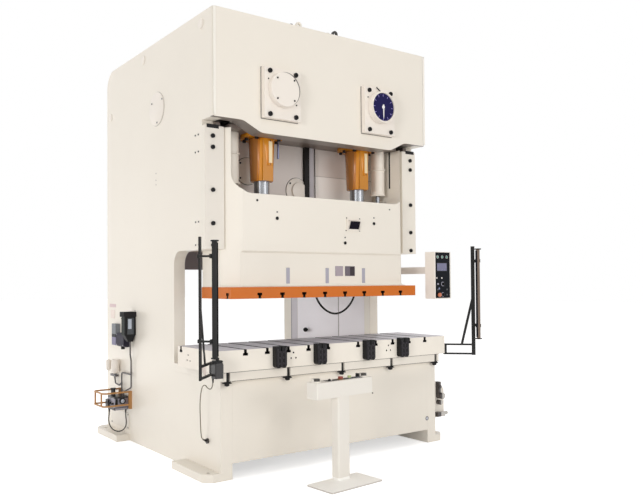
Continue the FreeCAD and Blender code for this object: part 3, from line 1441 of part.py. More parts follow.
def light_curtain(side):
    """Swinging frame of one light curtain, made along its arm and then turned into place."""
    reach_x = size("curtain_reach_side")
    reach_y = size("curtain_reach_front")
    length = math.hypot(reach_x, reach_y)
    section = size("curtain_rail_section")
    rail_high = size("curtain_rail_high")
    rail_low = size("curtain_rail_low")
    width = size("curtain_post_width")
    post_low = size("curtain_low")
    up = Vector(0, 0, 1)
    frame = []
    for height in (rail_low, rail_high):
        frame.append(Part.makeBox(length, section, section, Vector(0, -section / 2, height)))
        frame.append(Part.makeCylinder(14, section, Vector(0, 0, height), up))
    frame.append(Part.makeBox(width, 12, size("curtain_post_length"),
                              Vector(length - width / 2, -6, post_low)))
    foot = Vector(length * 0.6, 0, rail_high + section)
    head = Vector(length, 0, size("bar_low + bar_length * 0.4755"))
    run = head - foot
    brace_width = size("brace_width")
    brace = Part.makeBox(brace_width, section / 2, run.Length, Vector(-brace_width / 2, -section / 4, 0))
    brace.Placement = Placement(foot, Rotation(up, run))
    frame.append(brace)
    offset = size("bar_offset")
    bar_x = length + size("bar_beyond")
    clamp_heights = (size("bar_low + bar_length * 0.147"), size("bar_low + bar_length * 0.865"))
    for height in clamp_heights:
        frame.append(Part.makeBox(46, 14, 26, Vector(length - 4, -7, height - 13)))
        frame.append(Part.makeBox(14, offset, 14, Vector(bar_x - 7, -offset, height - 7)))
        frame.append(Part.makeBox(size("bar_width") + 16, 14, 30,
                                  Vector(bar_x - size("bar_width") / 2 - 8, -offset + 17, height - 15)))
    bore = Part.makeCylinder(6 + size("run_gap"), size("curtain_post_length"), Vector(0, 0, post_low), up)
    arm = frame[0].fuse(frame[1:]).cut(bore).removeSplitter()
    half = size("bar_width") / 2
    bar = Part.makeBox(2 * half, 2 * half + 4, size("bar_length"),
                       Vector(bar_x - half, -offset - half - 2, size("bar_low")))
    bar = bar.makeFillet(4, upright(bar, 100))
    arm = arm.cut(bar)
    place = Placement(Vector(size("bolster_half + curtain_hinge_out"),
                             size("bolster_front + curtain_hinge_back"), 0),
                      Rotation(up, -math.degrees(math.atan2(reach_y, reach_x))))
    shape = Part.makeCompound([arm, bar])
    shape.Placement = place.multiply(shape.Placement)
    if side < 0:
        shape = shape.mirror(Vector(), Vector(1, 0, 0))
    label = ("left_" if side < 0 else "right_") + "light_curtain"
    node(label, solid_feature(shape, "Curtain"))


# ---------------------------------------------------------------- operator panel


def panel_arm():
    """Swivel arm of the operator panel, with its pivot bracket's pin running in it."""
    x = size("half_width + arm_pivot_out")
    y = size("crown_front + arm_pivot_setback")
    end = Vector(size("panel_side"), size("crown_front + panel_setback + panel_depth"), 0)
    run = end - Vector(x, y, 0)
    section = size("arm_section")
    z = size("arm_height") - section / 2
    hub = Part.makeCylinder(section / 2 + 4, section, Vector(x, y, z), Vector(0, 0, 1))
    bar = Part.makeBox(run.Length - 6, section * 0.7, section, Vector(0, -section * 0.35, z))
    bar.Placement = Placement(Vector(x, y, 0), Rotation(Vector(1, 0, 0), run))
    side = section * 1.5
    flange = Part.makeBox(side, 12, side, end + Vector(-side / 2, 0, size("arm_height") - side / 2))
    bore = Part.makeCylinder(14 + size("run_gap"), section, Vector(x, y, z), Vector(0, 0, 1))
    return node("panel_arm", solid_feature(hub.fuse([bar, flange]).cut(bore).removeSplitter(), "PanelArm"))


def arm_bracket():
    """Clevis on the right side frame that carries the panel arm's pin."""
    x = "half_width + arm_pivot_out"
    y = "crown_front + arm_pivot_setback"
    half = "arm_section / 2"
    back = block(("half_width", "half_width + 10"), (y + " - 60", y + " + 60"),
                 ("arm_height - %s - 50" % half, "arm_height + %s + 50" % half))
    ears = [
        block(("half_width", x + " + 30"), (y + " - 34", y + " + 34"),
              ("arm_height + %s + 0.3" % half, "arm_height + %s + 16" % half)),
        block(("half_width", x + " + 30"), (y + " - 34", y + " + 34"),
              ("arm_height - %s - 16" % half, "arm_height - %s - 0.3" % half)),
    ]
    pivot = cylinder(14, "arm_section + 32", (x, y, "arm_height - %s - 16" % half))
    return node("arm_bracket", fuse([back] + ears + [pivot], "ArmBracket"))


def control_panel():
    """Operator panel: a folded box with a sunk face plate."""
    half = "panel_width / 2"
    front = "crown_front + panel_setback"
    high = "panel_low + panel_height"
    body = new_body("control_panel")
    sketch = new_sketch(body, "XZ_Plane", "-(%s)" % front)
    rectangle(sketch, ("panel_side - " + half, "panel_side + " + half), ("panel_low", high))
    pad(body, sketch, "panel_depth", backwards=True)
    dress(body, "Fillet", "z", lambda p: near(abs(p.x - size("panel_side")), half), 8)
    face = new_sketch(body, "XZ_Plane", "-(%s)" % front)
    rectangle(face, ("panel_side - %s + 6" % half, "panel_side + %s - 12" % half),
              ("panel_low + 8", high + " - 6"))
    pocket(body, face, 3)
    holes = new_sketch(body, "XZ_Plane", "-(%s)" % front)
    for across, up in PANEL_KNOBS.values():
        circle(holes, "panel_side + %d" % across, "panel_low + %d" % up, 9)
    pocket(body, holes, 40)
    return body


PANEL_KNOBS = {"panel_estop": (-62, 38), "panel_key_switch": (-2, 40), "panel_selector": (-2, 140)}


def panel_knobs():
    """Emergency stop, key switch and mode selector of the operator panel."""
    back = Vector(0, 1, 0)
    front = size("crown_front + panel_setback") + 3
    for name, (across, up) in PANEL_KNOBS.items():
        x = size("panel_side") + across
        z = size("panel_low") + up
        shank = Part.makeCylinder(9 - size("run_gap"), 30, Vector(x, front, z), back)
        if name == "panel_estop":
            head = Part.makeCylinder(19, 14, Vector(x, front - 24, z), back)
            neck = Part.makeCylinder(9 - size("run_gap"), 10.5, Vector(x, front - 10.4, z), back)
            shape = head.fuse([neck, shank])
        else:
            head = Part.makeCylinder(15, 11.6, Vector(x, front - 12, z), back)
            grip = Part.makeBox(8, 12, 28, Vector(x - 4, front - 22, z - 14))
            neck = Part.makeCylinder(9 - size("run_gap"), 1, Vector(x, front - 0.5, z), back)
            shape = head.fuse([grip, neck, shank])
        node(name, solid_feature(shape.removeSplitter(), "Knob"))


# ---------------------------------------------------------------- two-hand stand


def stand_place(shape):
    """Move a shape made round the stand's column to where the stand is."""
    shape.Placement = Placement(Vector(size("stand_side"), size("crown_front + stand_front"), 0),
                                Rotation(Vector(0, 0, 1), size("stand_turn"))).multiply(shape.Placement)
    return shape


STAND_BUTTONS = {"left_palm_button": -1, "right_palm_button": 1}
STAND_KNOBS = {"stand_estop": 2, "stand_start_button": 94, "stand_selector": 180}


def control_stand():
    """Stand of the two-hand control: foot, column and button box with guarded wells."""
    up = Vector(0, 0, 1)
    plate = size("stand_base_plate")
    width = size("stand_base_width")
    depth = size("stand_base_depth")
    foot = Part.makeBox(width, depth, plate,
                        Vector(size("stand_base_side") - width / 2, size("stand_base_front") - depth / 2,
                               0))
    foot = foot.makeFillet(10, upright(foot, 1))
    wide = size("stand_column_width")
    deep = size("stand_column_depth")
    low = size("stand_box_low")
    column = Part.makeBox(wide, deep, low - plate, Vector(-wide / 2, -deep / 2, plate))
    column = column.makeFillet(14, upright(column, 100))
    box_width = size("stand_box_width")
    box_depth = size("stand_box_depth")
    high = low + size("stand_box_height")
    box = Part.makeBox(box_width, box_depth, high - low, Vector(-box_width / 2, -box_depth / 2, low))
    box = box.makeFillet(8, upright(box, 50))
    lamp = Part.makeCylinder(11, 14, Vector(-98, 0, high), up)
    stand = box.fuse([column, foot, lamp])
    tools = []
    for side in STAND_BUTTONS.values():
        x = side * size("palm_spacing") / 2
        guard = Part.makeCylinder(size("palm_radius") + 9, 26, Vector(x, 0, high), up)
        hollow = Part.makeCylinder(size("palm_radius") + 4, 26, Vector(x, 0, high), up)
        front = Part.makeBox(90, 60, 30, Vector(x - 45, -68, high + 6))
        stand = stand.fuse(guard.cut([hollow, front]))
        tools.append(Part.makeCylinder(11, 40, Vector(x, 0, high - 40), up))
    for x in STAND_KNOBS.values():
        tools.append(Part.makeCylinder(9, 40, Vector(x, 0, high - 40), up))
    return node("control_stand",
                solid_feature(stand_place(stand.cut(tools).removeSplitter()), "ControlStand"))


def stand_buttons():
    """Palm buttons and the row of small controls on the button box."""
    up = Vector(0, 0, 1)
    gap = size("run_gap")
    high = size("stand_box_low + stand_box_height")
    travel = size("button_travel")
    for name, side in STAND_BUTTONS.items():
        x = side * size("palm_spacing") / 2
        head = Part.makeCylinder(size("palm_radius"), 18, Vector(x, 0, high + travel + 1), up)
        rim = [edge for edge in head.Edges if edge.BoundBox.ZMin > high + travel + 18]
        head = head.makeFillet(7, rim)
        stem = Part.makeCylinder(11 - gap, travel + 30, Vector(x, 0, high - 28), up)
        node(name, solid_feature(stand_place(head.fuse(stem).removeSplitter()), "PalmButton"))
    for name, x in STAND_KNOBS.items():
        stem = Part.makeCylinder(9 - gap, travel + 30, Vector(x, 0, high - 28), up)
        if name == "stand_selector":
            head = Part.makeCylinder(15, 12, Vector(x, 0, high + 0.4), up).fuse(
                Part.makeBox(9, 30, 26, Vector(x - 4.5, -15, high + 4)))
        else:
            radius = {"stand_estop": 19, "stand_start_button": 14}[name]
            head = Part.makeCylinder(radius, 14, Vector(x, 0, high + travel + 1), up)
        node(name, solid_feature(stand_place(head.fuse(stem).removeSplitter()), "StandControl"))


# ---------------------------------------------------------------- services


def beside(setback, out, height):
    """A place on the left side frame: behind the crown front, out from the plate, above the floor."""
    return Vector(size("-half_width - (%s)" % text_of(out)), size("crown_front + (%s)" % text_of(setback)),
                  size(text_of(height)))


def lubrication_pump():
    """Lubrication pump with its lid and funnel, the distributor block and a terminal box."""
    out = size("pump_out")
    depth = size("pump_depth")
    tank = Part.makeBox(out, depth, size("pump_height"), beside("pump_setback", "pump_out", "pump_low"))
    tank = tank.makeFillet(10, upright(tank, 100))
    lid = Part.makeBox(out + 10, depth + 16, size("pump_lid"),
                       beside("pump_setback - 8", "pump_out + 10", "pump_low + pump_height"))
    top = Part.makePolygon([beside("pump_setback + %s" % u, v, "pump_low") for u, v in
                            (("4", "8"), ("4", "pump_out - 4"), ("pump_depth - 4", "pump_out - 4"),
                             ("pump_depth - 4", "8"), ("4", "8"))])
    low = Part.makePolygon([beside("pump_setback + %s" % u, v, "pump_low - pump_funnel") for u, v in
                            (("26", "20"), ("26", "pump_out - 44"), ("pump_depth - 12", "pump_out - 44"),
                             ("pump_depth - 12", "20"), ("26", "20"))])
    funnel = Part.makeLoft([top, low], True)
    link = Part.makeBox(30, size("spreader_gap") + 20, 40,
                        beside("pump_setback + pump_depth - 10", 30, "pump_low"))
    spreader = Part.makeBox(size("spreader_out"), size("spreader_width"), size("spreader_height"),
                            beside("spreader_setback", "spreader_out", "spreader_low"))
    spreader = spreader.makeChamfer(16, [edge for edge in spreader.Edges
                                         if abs(edge.Vertexes[0].Y - edge.Vertexes[1].Y) > 100
                                         and edge.Vertexes[0].X < size("-half_width") - 10])
    knob = Part.makeCylinder(18, 26, beside("spreader_setback + spreader_width * 0.55", "spreader_out / 2",
                                            "spreader_low - 26"),
                             Vector(0, 0, 1))
    bridge = Part.makeBox(30, size("terminal_gap") + 10, 30,
                          beside("spreader_setback + spreader_width - 5", 30, "spreader_low + 40"))
    terminal = Part.makeBox(46, size("terminal_width"), size("terminal_height"),
                            beside("terminal_setback", 46, "spreader_low"))
    shape = tank.fuse([lid, funnel, link, spreader, knob, bridge, terminal]).removeSplitter()
    return node("lubrication_pump", solid_feature(shape, "LubricationPump"))


def tube(points, radius, bend):
    """Round tube along straight runs joined by tangent arcs."""
    edges = []
    at = points[0]
    for index in range(1, len(points) - 1):
        corner = points[index]
        back = (points[index - 1] - corner).normalize()
        ahead = (points[index + 1] - corner).normalize()
        half = back.getAngle(ahead) / 2
        reach = bend / math.tan(half)
        start = corner + back * reach
        end = corner + ahead * reach
        middle = corner + (back + ahead).normalize() * (bend / math.sin(half) - bend)
        edges.append(Part.LineSegment(at, start).toShape())
        edges.append(Part.Arc(start, middle, end).toShape())
        at = end
    edges.append(Part.LineSegment(at, points[-1]).toShape())
    path = Part.Wire(edges)
    direction = (points[1] - points[0]).normalize()
    profile = Part.Wire([Part.Circle(points[0], direction, radius).toShape()])
    return path.makePipeShell([profile], True, False)


def side_pipes():
    """Rigid pipes that run down the left side frame, from the pump to the valve unit."""
    radius = size("pipe_radius")
    near_face = 20
    down = "pump_setback + pump_depth - 16"
    valve_top = "valve_low + valve_height"
    main = tube([
        beside("pump_setback + pump_depth / 2", 40, "pump_low - pump_funnel"),
        beside("pump_setback + pump_depth / 2", 40, "pump_low - 180"),
        beside(down, near_face, "pump_low - 240"),
        beside(down, near_face, valve_top + " + 88"),
        beside("valve_setback + 40", 46, valve_top + " + 36"),
        beside("valve_setback + 40", 46, valve_top),
    ], radius, 24)
    branch = tube([
        beside(down + " + 10", near_face, valve_top + " + 208"),
        beside("valve_setback + valve_width - 31", near_face, valve_top + " + 208"),
        beside("valve_setback + valve_width - 31", near_face, valve_top),
    ], radius, 30)
    hook = tube([
        beside("valve_setback + valve_width - 26", near_face, valve_top + " + 108"),
        beside("valve_setback + valve_width + 34", near_face, valve_top + " + 78"),
        beside("valve_setback + valve_width + 124", near_face, valve_top + " + 88"),
        beside("valve_setback + valve_width + 154", near_face, valve_top + " + 163"),
    ], radius, 22)
    fitting = Part.makeBox(near_face + 14, 130, 20,
                           beside("valve_setback + valve_width + 94", near_face + 14, valve_top + " + 153"))
    return [main.fuse([branch, hook, fitting]).removeSplitter()]


def valve_unit():
    """Air valve unit on its bracket, with gauge, exhaust silencer and pipes."""
    back = Vector(0, 1, 0)
    width = size("valve_width")
    unit = Part.makeBox(size("valve_out") - 12, width, size("valve_height"),
                        beside("valve_setback", "valve_out", "valve_low"))
    unit = unit.makeFillet(8, upright(unit, 100))
    bracket = Part.makeBox(14, width - 40, 90, beside("valve_setback + 20", 14, "valve_low + 16"))
    gauge = Part.makeCylinder(size("gauge_radius"), 22,
                              beside("valve_setback - 22", "valve_out * 0.52", "valve_low + 84"), back)
    rim = Part.makeBox(size("valve_out") - 30, 10, 16,
                       beside("valve_setback - 10", "valve_out - 6", "valve_low + 4"))
    column = Part.makeCylinder(size("muffler_radius"), size("muffler_height"),
                               beside("valve_setback + 110", "valve_out * 0.8", "valve_low + valve_height"),
                               Vector(0, 0, 1))
    cap = Part.makeCylinder(size("muffler_radius") + 5, 10,
                            beside("valve_setback + 110", "valve_out * 0.8",
                                   "valve_low + valve_height + muffler_height - 10"),
                            Vector(0, 0, 1))
    side = Part.makeBox(26, 60, 76, beside("valve_setback + 118", "valve_out + 20", "valve_low + 14"))
    unit = unit.fuse([bracket, gauge, rim, column, cap, side]).removeSplitter()
    plate = Part.makeBox(6, size("service_plate_width"), size("service_plate_height"),
                         beside("valve_setback + 10", 6, "foot_plate + 40"))
    return node("valve_unit", solid_feature(Part.makeCompound([unit, plate] + side_pipes()), "ValveUnit"))


def valve_guard():
    """Orange bar guard that stands out round the valve unit."""
    radius = size("guard_rod")
    up = Vector(0, 0, 1)
    rise = size("guard_rise")
    rails = []
    for height in ("guard_low", "guard_low + guard_rise"):
        rails.append(tube([beside("guard_setback", 0, height), beside("guard_setback", "guard_out", height),
                           beside("guard_setback + guard_width", "guard_out", height),
                           beside("guard_setback + guard_width", 0, height)], radius, 34))
    for setback in ("guard_setback + 52", "guard_setback + guard_width - 40"):
        rails.append(Part.makeCylinder(radius, rise, beside(setback, "guard_out", "guard_low"), up))
    post = Part.makeBox(26, 24, rise + 48, beside("guard_setback - 12", 26, "guard_low - 40"))
    rails.append(post)
    rear_post = Part.makeBox(26, 24, rise + 48,
                             beside("guard_setback + guard_width - 12", 26, "guard_low - 40"))
    rails.append(rear_post)
    return node("valve_guard", solid_feature(rails[0].fuse(rails[1:]).removeSplitter(), "ValveGuard"))


def air_supply():
    """Air supply unit on a bevelled plate, on the right side frame."""
    y = size("crown_front + air_setback")
    tall = size("air_height")
    out = size("air_out")
    thick = size("air_plate")
    valve = size("air_valve_radius")
    front = Vector(0, 1, 0)

    def spot(across, up, ahead=0.0):
        """A place on the plate: shares of its width and height, and a length ahead of it."""
        return Vector(size("half_width") + out * across, y - ahead, size("air_low") + tall * up)

    def boss(across, up, radius, length):
        return Part.makeCylinder(valve * radius, valve * length, spot(across, up, valve * length), front)

    corners = [spot(u, v) for u, v in ((0, 0), (1, 0), (1, 0.724), (0.709, 0.927), (0, 1), (0, 0))]
    plate = Part.Face(Part.makePolygon(corners)).extrude(Vector(0, thick, 0))
    foot = Part.makeBox(thick, thick * 11, tall, spot(0, 0))
    parts = [
        boss(0.648, 0.577, 1, 2.07),
        boss(0.62, 0.4, 0.73, 1.47),
        boss(0.582, 0.814, 0.5, 1.67),
        Part.makeBox(out * 0.15, valve * 1.33, tall * 0.338, spot(0.507, 0.606, valve * 1.33)),
        Part.makeBox(out * 0.45, valve * 1.53, tall * 0.113, spot(0.413, 0.034, valve * 1.53)),
        Part.makeBox(out * 0.141, valve * 1.47, tall * 0.085, spot(0.704, 0.051, valve * 1.47)),
        Part.makeCylinder(valve * 0.53, out * 0.282, spot(0.789, 0.101, valve * 0.73), Vector(1, 0, 0)),
    ]
    return node("air_supply", solid_feature(plate.fuse([foot] + parts).removeSplitter(), "AirSupply"))


def lifting_lugs():
    """Lifting lugs and breather caps on top of the crown."""
    shapes = []
    top = size("crown_top")
    radius = size("lug_radius")
    thick = size("lug_plate")
    along = Vector(0, 1, 0)
    y = size("crown_front + front_plate + 15 - lug_plate / 2")
    for share in (-0.548, 0.192):
        x = share * size("crank_half")
        lug = Part.makeBox(2 * radius, thick, radius, Vector(x - radius, y, top))
        eye = Part.makeCylinder(radius, thick, Vector(x, y, top + radius + 2), along)
        hole = Part.makeCylinder(radius * 0.46, thick, Vector(x, y, top + radius + 2), along)
        shapes.append(lug.fuse(eye).cut(hole).removeSplitter())
        cap = Part.makeCylinder(radius * 0.6, radius * 1.2, Vector(x - radius * 2.2, y + thick * 1.5, top),
                                Vector(0, 0, 1))
        shapes.append(cap)
    return node("lifting_lugs", solid_feature(Part.makeCompound(shapes), "LiftingLugs"))


# ---------------------------------------------------------------- cords


def rounded_cord(points, radius):
    """Cord of straight runs and tangent arcs, each arc as large as its runs allow."""
    edges = []
    at = points[0]
    length = 0.0
    radii = []
    for index in range(1, len(points) - 1):
        corner = points[index]
        back = points[index - 1] - corner
        ahead = points[index + 1] - corner
        short = min(back.Length, ahead.Length)
        back = back.normalize()
        ahead = ahead.normalize()
        half = back.getAngle(ahead) / 2
        reach = 0.45 * short
        bend = reach * math.tan(half)
        start = corner + back * reach
        end = corner + ahead * reach
        middle = corner + (back + ahead).normalize() * (bend / math.sin(half) - bend)
        edges.append(Part.LineSegment(at, start).toShape())
        edges.append(Part.Arc(start, middle, end).toShape())
        radii.append(bend)
        at = end
    edges.append(Part.LineSegment(at, points[-1]).toShape())
    path = Part.Wire(edges)
    length = path.Length
    direction = (points[1] - points[0]).normalize()
    profile = Part.Wire([Part.Circle(points[0], direction, radius).toShape()])
    shape = path.makePipeShell([profile], True, False)
    ideal = math.pi * radius ** 2 * length
    print("cord length %.0f, volume over ideal %.4f, radii %s" % (
        length, shape.Volume / ideal, " ".join("%.0f" % value for value in radii)))
    return shape


CABLE_ROUTE = (
    (-1250, -1221, 783), (-1250, -1221, 733), (-1248, -1185, 697), (-1244, -1130, 700), (-1238, -1075, 722),
    (-1234, -1022, 696), (-1232, -994, 622), (-1231, -984, 545), (-1230, -988, 468), (-1226, -984, 398),
    (-1214, -968, 338), (-1194, -942, 292), (-1152, -924, 274),
)
VALVE_HOSE_ROUTE = (
    (-1156, 636, 292), (-1156, 636, 232), (-1150, 634, 176), (-1153, 642, 124), (-1174, 666, 88),
    (-1207, 702, 76),
    (-1242, 744, 92), (-1262, 774, 136), (-1266, 784, 188), (-1261, 778, 240), (-1261, 778, 292),
)


def carried(points, start, end):
    """A route whose ends move with what carries them, and whose middle shares both moves."""
    last = len(points) - 1
    return [Vector(*point) + start * (1 - k / last) + end * (k / last) for k, point in enumerate(points)]


def cable_route():
    """Places along the curtain's cable, from its junction box to its plug on the side frame."""
    box = Vector(1200 - size("bolster_half"), size("bolster_front") + 1168, size("bolster_top") - 967)
    plug = Vector(1127 - size("half_width"), size("crown_front") + 1020, 0)
    return carried(CABLE_ROUTE, box, plug)


def valve_hose():
    """Hose that hangs in a loop under the valve unit, from one port to the other."""
    shift = Vector(1127 - size("half_width"), size("crown_front + valve_setback") - 610,
                   size("valve_low") - 292)
    return node("valve_hose",
                solid_feature(rounded_cord(carried(VALVE_HOSE_ROUTE, shift, shift), 5), "ValveHose"))


def slide_hose():
    """Service hose that hangs in a loop behind the slide, both ends on the slide's back."""
    y = size("slide_rear") + 30
    lift = size("slide_low") - HOSE_DATUM
    loop = [Vector(x, y, z + lift) for x, z in HOSE_ROUTE]
    hose = rounded_cord(loop, 9)
    return node("slide_hose", solid_feature(hose, "SlideHose"))


def curtain_wiring():
    """Junction box of the left light curtain at the bolster's end, and its plug on the side frame."""
    edge = size("-bolster_half")
    front = size("bolster_front")
    top = size("bolster_top")
    wide = size("junction_width")
    tall = size("junction_height")
    reach = size("junction_reach")
    low = top - size("junction_drop")
    box = Part.makeBox(wide, size("junction_depth"), tall, Vector(edge + 5 - wide, front - reach, low))
    box = box.makeFillet(10, upright(box, 50))
    arm = Part.makeBox(6, reach - 12, tall * 0.45, Vector(edge + 5, front - reach + 12, low + tall / 3))
    strap = Part.makeBox(wide - 6, 6, tall * 0.45, Vector(edge + 5, front - 6, low + tall / 3))
    route = cable_route()
    end = route[-1]
    along = (end - route[-2]).normalize()
    face = size("-half_width")
    length = (face - 8 - end.x) / along.x
    plug = Part.makeCylinder(9, length, end, along)
    target = end + along * length
    socket = Part.makeCylinder(20, 14, Vector(face, target.y, target.z), Vector(-1, 0, 0))
    group = Part.makeCompound([box.fuse([arm, strap]).removeSplitter(), socket.fuse(plug).removeSplitter()])
    return node("curtain_wiring", solid_feature(group, "CurtainWiring"))


def curtain_cable():
    """Cable from the junction box down to its plug on the side frame."""
    return node("curtain_cable", solid_feature(rounded_cord(cable_route(), 4), "CurtainCable"))


# ---------------------------------------------------------------- build

side_frame("left_side_frame", -1)
side_frame("right_side_frame", 1)
bed()
bolster()
bolster_bolts()
die_arm_brackets()
crown_front()
crown_back_shell()
crown_floor()
bearing_wall()
gear_case()
crank_bearings()
crank_covers()
angle_dial()
angle_pointer()
for label, sign in (("left_", -1), ("right_", 1)):
    crankshaft(label + "crankshaft", sign)
    main_gear(label + "main_gear", sign)
pinion_shaft()
flywheel()
drive_motor()
motor_pulley()
drive_belts()
slide_body()
slide_plate()
gib_plates()
plungers()
connecting_rods()
plunger_guides()
counterbalance_cylinders()
counterbalance_rods()
slide_display()
frame_screws()
wall_covers()
wall_duct()
curtain_hinges()
light_curtain(-1)
light_curtain(1)
panel_arm()
arm_bracket()
control_panel()
panel_knobs()
control_stand()
stand_buttons()
lubrication_pump()
valve_unit()
valve_guard()
air_supply()
lifting_lugs()
slide_hose()
valve_hose()
curtain_wiring()
curtain_cable()
doc.recompute()

for item in doc.Objects:
    if "Invalid" in item.State or "Error" in item.State:
        raise RuntimeError("%s failed: %s" % (item.Label, item.State))
for name, item in nodes.items():
    if item.Shape.isNull() or not item.Shape.isValid():
        raise RuntimeError("%s has no valid shape" % name)

os.makedirs("parts", exist_ok=True)
for name, item in nodes.items():
    item.Shape.exportStep("parts/%s.step" % name)
    print("%-26s solids %2d  volume %.4f m3" % (name, len(item.Shape.Solids), item.Shape.Volume / 1e9))
print(len(nodes), "nodes")
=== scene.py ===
import math
import bmesh
import bpy
from mathutils import Matrix, Vector


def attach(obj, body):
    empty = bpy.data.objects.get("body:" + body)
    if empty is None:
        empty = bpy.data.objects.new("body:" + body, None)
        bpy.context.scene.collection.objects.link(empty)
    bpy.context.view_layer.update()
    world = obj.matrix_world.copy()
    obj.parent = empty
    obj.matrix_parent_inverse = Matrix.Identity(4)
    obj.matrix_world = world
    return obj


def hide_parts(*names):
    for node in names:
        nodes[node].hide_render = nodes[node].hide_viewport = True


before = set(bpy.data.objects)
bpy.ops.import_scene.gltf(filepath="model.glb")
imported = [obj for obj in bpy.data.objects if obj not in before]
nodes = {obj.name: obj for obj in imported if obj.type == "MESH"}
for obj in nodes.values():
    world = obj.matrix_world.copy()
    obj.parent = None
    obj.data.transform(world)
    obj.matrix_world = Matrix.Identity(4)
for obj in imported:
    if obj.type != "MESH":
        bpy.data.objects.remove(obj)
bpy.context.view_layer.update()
scene = bpy.context.scene

FLOAT = "NodeSocketFloat"
COUNT = "NodeSocketInt"
COLOUR = "NodeSocketColor"
VECTOR = "NodeSocketVector"
MATERIAL = "NodeSocketMaterial"
GEOMETRY = "NodeSocketGeometry"
NODE_STEP = 200  # how far apart nodes stand in the editor


# ------------------------------ node helpers


def srgb(red, green, blue):
    """A display colour, 0 to 255, as the shader wants it."""
    def linear(value):
        value /= 255
        return value / 12.92 if value <= 0.04045 else ((value + 0.055) / 1.055) ** 2.4
    return (linear(red), linear(green), linear(blue), 1)


def feed(node, inputs):
    """Fills a node's inputs, each from another node's output or with a plain value."""
    for key, value in inputs.items():
        if isinstance(value, bpy.types.NodeSocket):
            node.id_data.links.new(value, node.inputs[key])
        else:
            node.inputs[key].default_value = value


def add(tree, kind, inputs=None, **settings):
    """Adds a node to the right of the last one."""
    node = tree.nodes.new(kind)
    node.location = (NODE_STEP * len(tree.nodes), 0)
    for key, value in settings.items():
        setattr(node, key, value)
    feed(node, inputs or {})
    return node


def new_group(kind, name, inputs, outputs):
    """An empty node group with named sockets, and the values that come into it."""
    tree = bpy.data.node_groups.new(name, kind)
    for label, socket_kind, value in inputs:
        socket = tree.interface.new_socket(label, in_out="INPUT", socket_type=socket_kind)
        if value is not None:
            socket.default_value = value
    for label, socket_kind in outputs:
        tree.interface.new_socket(label, in_out="OUTPUT", socket_type=socket_kind)
    return tree, add(tree, "NodeGroupInput").outputs


def maths(tree, operation, *values, **settings):
    """The result of a Math node."""
    return add(tree, "ShaderNodeMath", dict(enumerate(values)), operation=operation, **settings).outputs[0]


def vector_maths(tree, operation, *vectors):
    """The result of a Vector Math node."""
    return add(tree, "ShaderNodeVectorMath", dict(enumerate(vectors)), operation=operation).outputs[0]


def mixed(tree, share, first, second, kind="RGBA"):
    """The first colour or value, turned into the second one by a share."""
    mix = add(tree, "ShaderNodeMix", {"Factor": share, "A": first, "B": second}, data_type=kind)
    return mix.outputs["Result"]


def noise(tree, where, scale, detail):
    """The value of a noise pattern, about 0.5 on average."""
    return add(tree, "ShaderNodeTexNoise", {"Vector": where, "Scale": scale, "Detail": detail}).outputs["Fac"]


def own_place(tree):
    """Where a point lies in the object's own coordinates."""
    return add(tree, "ShaderNodeTexCoord").outputs["Object"]


# ------------------------------ shared effects


SURFACE = [("Colour", COLOUR), ("Roughness", FLOAT), ("Height", FLOAT)]
GRIME_BROWN = (0.30, 0.27, 0.23, 1)
DUST_PALE = (0.55, 0.52, 0.48, 1)


def sprayed_paint_effect():
    """Slow colour drift, faint grime near the floor and the orange peel of sprayed paint."""
    tree, into = new_group("ShaderNodeTree", "sprayed_paint", [
        ("Colour", COLOUR, (0.8, 0.8, 0.8, 1)), ("Drift", FLOAT, 0.04), ("Grime", FLOAT, 0.1),
        ("Gloss", FLOAT, 0.35), ("Peel Size", FLOAT, 240)], SURFACE)
    where = own_place(tree)
    clouds = add(tree, "ShaderNodeMapRange", {
        "Value": noise(tree, where, scale=1.7, detail=5), "From Min": 0.3, "From Max": 0.7})
    drift = maths(tree, "MULTIPLY", clouds.outputs["Result"], into["Drift"])
    height = add(tree, "ShaderNodeSeparateXYZ", {0: where}).outputs["Z"]
    low = add(tree, "ShaderNodeMapRange", {"Value": height, "From Min": 0.5, "From Max": 0.0})
    specks = noise(tree, where, scale=9, detail=8)
    grime = maths(tree, "MULTIPLY", maths(tree, "MULTIPLY", low.outputs["Result"], specks), into["Grime"])
    share = maths(tree, "ADD", drift, grime, use_clamp=True)
    add(tree, "NodeGroupOutput", {
        "Colour": mixed(tree, share, into["Colour"], GRIME_BROWN),
        "Roughness": maths(tree, "MULTIPLY_ADD", specks, 0.14, into["Gloss"]),
        "Height": noise(tree, where, into["Peel Size"], detail=2)})
    return tree


def machined_effect():
    """Fine tool lines along one direction, with a few darker patches."""
    tree, into = new_group("ShaderNodeTree", "machined_metal", [
        ("Light", COLOUR, (0.6, 0.6, 0.6, 1)), ("Dark", COLOUR, (0.4, 0.4, 0.4, 1)), ("Stretch X", FLOAT, 4),
        ("Stretch Y", FLOAT, 300), ("Stretch Z", FLOAT, 300), ("Gloss", FLOAT, 0.25)], SURFACE)
    where = own_place(tree)
    parts = add(tree, "ShaderNodeSeparateXYZ", {0: where}).outputs
    stretched = add(tree, "ShaderNodeCombineXYZ", {
        axis: maths(tree, "MULTIPLY", parts[axis], into["Stretch " + axis]) for axis in "XYZ"}).outputs[0]
    lines = noise(tree, stretched, scale=1, detail=4)
    patches = noise(tree, where, scale=6, detail=6)
    share = maths(tree, "MULTIPLY_ADD", patches, 0.55, maths(tree, "MULTIPLY", lines, 0.5))
    add(tree, "NodeGroupOutput", {
        "Colour": mixed(tree, share, into["Dark"], into["Light"]),
        "Roughness": maths(tree, "MULTIPLY_ADD", lines, 0.25, into["Gloss"]),
        "Height": lines})
    return tree


